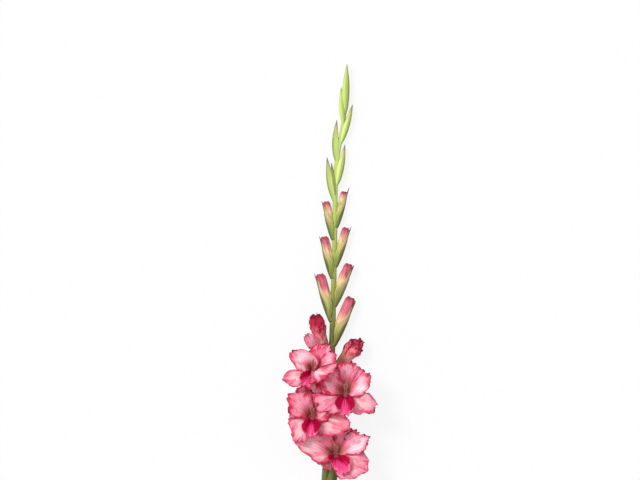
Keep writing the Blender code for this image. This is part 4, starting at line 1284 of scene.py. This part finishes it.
def make_green_buds():
    pieces = []
    for number, bud in enumerate(GREEN_BUDS):
        for layer, part in enumerate(bud["parts"]):
            name = bud["name"] + ("_inner", "_wrapped")[layer == 0]
            finish = green_bud_finish(name + "_finish", bud["side"], 1.9 * number + layer, dark=0.6 * layer)
            spindle = spindle_part(part, 1.1 if number % 2 else 2.4)
            pieces.append(make_piece(name, [spindle], finish, bud["name"]))
    finish = green_bud_finish("tip_buds_finish", 1, 9.0, shine=0.25, dry=0.3)
    parts = [spindle_part(bud, 1.9) for bud in TIP_BUDS]
    pieces.append(make_piece("tip_buds_wrapped", parts, finish, "tip_buds"))
    return pieces


report("green buds", make_green_buds())

# %% [markdown]
# ## Opening buds
#
# Two buds have burst: their petals stand out of the bract in a tight crimson roll with a ruffled mouth.
# Three petals overlap like a pinwheel. Two smaller rings of three and a core fill the mouth. Each petal is
# a sheet wrapped round the bud's centre line, with one margin tucked under its neighbour.

# %% Opening buds
OPENING_BUDS = [
    dict(name="opening_bud_1", side=1, base=(5.8, 147), middle=(18, 178), top=(42, 199), wide=11.6, rise=0.0,
         opens=(0.5, 0.72), closing=0.45, reaches=(0.88, 0.97, 1.03), mouth=0.84),
    dict(name="opening_bud_2", side=-1, base=(-6.5, 168), middle=(-15, 196), top=(-25, 238), wide=10.7,
         rise=7.0,
         opens=(0.6, 0.78), closing=0.3, reaches=(0.97, 0.98, 0.9), mouth=0.72),
]
ROLL_THICK = 0.5
ROLL_LOWEST = 0.5
RINGS = ((1.0, 0.0), (0.82, 60.0), (0.58, 25.0))
FIRST_TURN = 40.0
NEXT_TURN = 55.0
PEELED = dict(foot=(-17, 187), tip=(-38, 209), half=10.0, height=31.0)


def opening_path(bud):
    height = bud["wide"] + 2.5
    return [(*bud["base"], 8.8), (*bud["middle"], height - 1.5), (*bud["top"], height + bud["rise"])]


def opening_profile(bud, s):
    neck = mix(0.13, 0.66, ease(s, 0.02, 0.35))
    return mix(neck, 1.0, ease(s, *bud["opens"])) * (1.0 - bud["closing"] * ease(s, 0.84, 1.0))


def opening_petal_part(bud, turn, scale, reach, number):
    """One petal of the roll, wrapped about the centre line and crumpled at its mouth."""
    path = opening_path(bud)
    s, t = sheet_grid(60, 56)
    margin = 1.0 - (1.0 - np.abs(t) ** 3) * (1.0 - s ** 5)
    crumple = wander(5.0 * t + 11.0 * s, 2.0 * number) + 0.8 * wander(12.0 * t - 24.0 * s, 3.0 * number + 1.0)
    share = s * reach * (1.0 - 0.12 * np.abs(t) ** 3) + 0.035 * margin * wander(9.0 * t, number) * s ** 2
    half = np.radians(mix(62.0, 80.0, ease(s, 0.3, 0.7)))
    angle = math.radians(turn) + t * half
    radius = bud["wide"] * opening_profile(bud, np.clip(share, 0.0, 1.0)) * scale
    radius = radius * (1.0 + 0.075 * t * ease(s, 0.2, 0.6))
    radius = radius + ease(s, 0.5, 0.85) * (0.6 + 0.9 * margin) * crumple
    share = np.clip(share, 0.0, 1.04)
    points = ring_points(bezier(path, share), bezier_direction(path, np.minimum(share, 1.0)),
                         (1.0, 0.0, 0.0), radius, angle)
    points[..., 2] = np.maximum(points[..., 2], ROLL_LOWEST)
    return sheet_part(points, ROLL_THICK, s, t, 1.9 * number)


def opening_core_part(bud):
    path = opening_path(bud)
    s, angle = round_grid(40, 40)
    share = s * 0.9
    radius = bud["wide"] * opening_profile(bud, share) * 0.4
    points = ring_points(bezier(path, share), bezier_direction(path, share), (1.0, 0.0, 0.0), radius, angle)
    part = round_part(points, s, angle)
    part["place"] = np.stack([part["place"][:, 0], part["place"][:, 2], part["place"][:, 1]], axis=-1)
    return part


def peeled_part():
    foot, tip = np.array([*PEELED["foot"], 10.0]), np.array([*PEELED["tip"], PEELED["height"]])
    middle = mix(foot, tip, 0.35) + np.array([-2.0, 0.0, 12.0])
    s, t = sheet_grid(52, 44)
    side = unit(np.array([(tip - foot)[1], -(tip - foot)[0], 0.0]))
    width = PEELED["half"] * mix(0.7, 1.0, ease(s, 0.0, 0.6)) * (1.0 - 0.2 * s ** 4)
    margin = 1.0 - (1.0 - np.abs(t) ** 3) * (1.0 - s ** 6)
    around = np.arctan2(t, s - 0.45)
    share = s * (1.0 - 0.16 * np.abs(t) ** 2.6) * (1.0 + 0.05 * wander(9.0 * around, 2.0) * s ** 3)
    points = bezier([foot, middle, tip], share) + side * (t * width)[..., None]
    ruffle = 2.3 * np.sin(7.0 * around) + 1.5 * wander(15.0 * around, 4.0)
    points[..., 2] += 3.0 * (1.0 - t * t) + margin * ruffle
    return sheet_part(points, ROLL_THICK, s, t, 7.0)


print("opening bud 2 is", round(OPENING_BUDS[1]["wide"] * 2), "mm thick")

# %% Opening bud finish
def opening_finish(name, seed, mouth_at):
    finish, tree, shader = new_finish(name, 0.5, subsurface=0.12)
    _, s, _, edge, shifted = where_on_piece(tree, seed)
    streaks = cloud(tree, shifted, 1.0, (9.0, 2.0, 1.0), 5.0)
    ragged = cloud(tree, shifted, 1.0, (9.0, 14.0, 1.0), 3.0)
    inward = plus(tree, edge, times(tree, minus(tree, streaks, 0.5), 8.0))
    folds = cloud(tree, shifted, 1.0, (5.0, 9.0, 1.0), 3.0)
    mouth = plus(tree, s, times(tree, minus(tree, ragged, 0.5), 0.5))
    colour = blend(tree, fade(tree, s, 0.1, 0.4), tint("c79a78"), tint("f4a8a0"))
    colour = blend(tree, fade(tree, s, 0.5, mouth_at), colour, tint("f2748a"))
    colour = blend(tree, fade(tree, streaks, 0.48, 0.62, 0.0, 0.55), colour, tint("d42e56"))
    # Painted highlights on the folds of the roll.
    bright = times(tree, fade(tree, folds, 0.48, 0.36, 0.0, 0.7), fade(tree, s, 0.4, 0.6))
    colour = blend(tree, bright, colour, tint("ffbcb4"))
    colour = blend(tree, fade(tree, mouth, mouth_at - 0.06, mouth_at + 0.14, 0.0, 0.9), colour,
                   tint("c20c40"))
    # Painted shade: dark crimson between the folds, towards the mouth.
    dark = times(tree, fade(tree, folds, 0.5, 0.62, 0.0, 0.9), fade(tree, s, mouth_at - 0.2, mouth_at))
    colour = blend(tree, dark, colour, tint("980830"))
    colour = blend(tree, fade(tree, inward, 4.0, 0.2, 0.0, 0.6), colour, tint("c41846"))
    ragged_edge = minus(tree, edge, times(tree, ragged, 2.2))
    rim = times(tree, fade(tree, ragged_edge, 0.5, -0.6, 0.0, 0.9), fade(tree, s, 0.7, 0.9))
    colour = blend(tree, rim, colour, tint("5c0620"))
    finish_surface(tree, shader, colour, streaks, 0.4, streaks, (0.4, 0.58))
    return finish


def opening_bract_part(bud, number):
    path = opening_path(bud)
    s, t = sheet_grid(48, 32)
    share = mix(0.02, 0.76, s)
    spread = mix(80.0, 125.0, ease(s, 0.1, 0.5)) * (1.0 - 0.95 * ease(s, 0.5, 1.0))
    radius = bud["wide"] * opening_profile(bud, share) * 1.06 + 1.45 + 0.06 * np.sin(26.0 * t)
    hint = (-bud["side"], 0.0, -0.4)
    angle = t * np.radians(spread)
    points = ring_points(bezier(path, share), bezier_direction(path, share), hint, radius, angle)
    points[..., 2] = np.maximum(points[..., 2], SHEATH_LOWEST)
    return sheet_part(points, SHEATH_THICK, s, t, 5.0 + number)


def make_opening_bud(number, bud):
    name = bud["name"]
    turn = FIRST_TURN + NEXT_TURN * number
    parts = []
    for (scale, first), reach in zip(RINGS, bud["reaches"]):
        parts += [opening_petal_part(bud, turn + first + 120.0 * step, scale, reach,
                                     len(parts) + step + 7 * number)
                  for step in range(3)]
    parts.append(opening_core_part(bud))
    pieces = [make_piece(name + "_roll", parts, opening_finish(name + "_finish", 2.1 * number, bud["mouth"]),
                         name + "_corolla")]
    if number == 1:
        finish = petal_finish("peeled_petal_finish", pale=0.35, blush=0.6, veins=0.35, throat=-0.2, seed=8.0)
        pieces.append(make_piece(name + "_peeled_petal", [peeled_part()], finish,
                                 name + "_corolla"))
    finish = bract_finish(name + "_sheath_finish", 0.0, 1.0, 7.0 + number, BRACT_RED, 0.1)
    sheath = [opening_bract_part(bud, number)]
    pieces.append(make_piece(name + "_sheath", sheath, finish, name + "_bract"))
    return pieces


report("opening buds", [piece for number, bud in enumerate(OPENING_BUDS)
                        for piece in make_opening_bud(number, bud)])

# %% [markdown]
# ## Count and finish
#
# The last cell prints how many triangles the pieces have in all and sets the Standard view transform.
# The dressed spike has to keep the size of the solids it was built over.

# %% Count and finish
print("triangles in all:", sum(triangles_made.values()))
bpy.context.scene.view_settings.view_transform = "Standard"
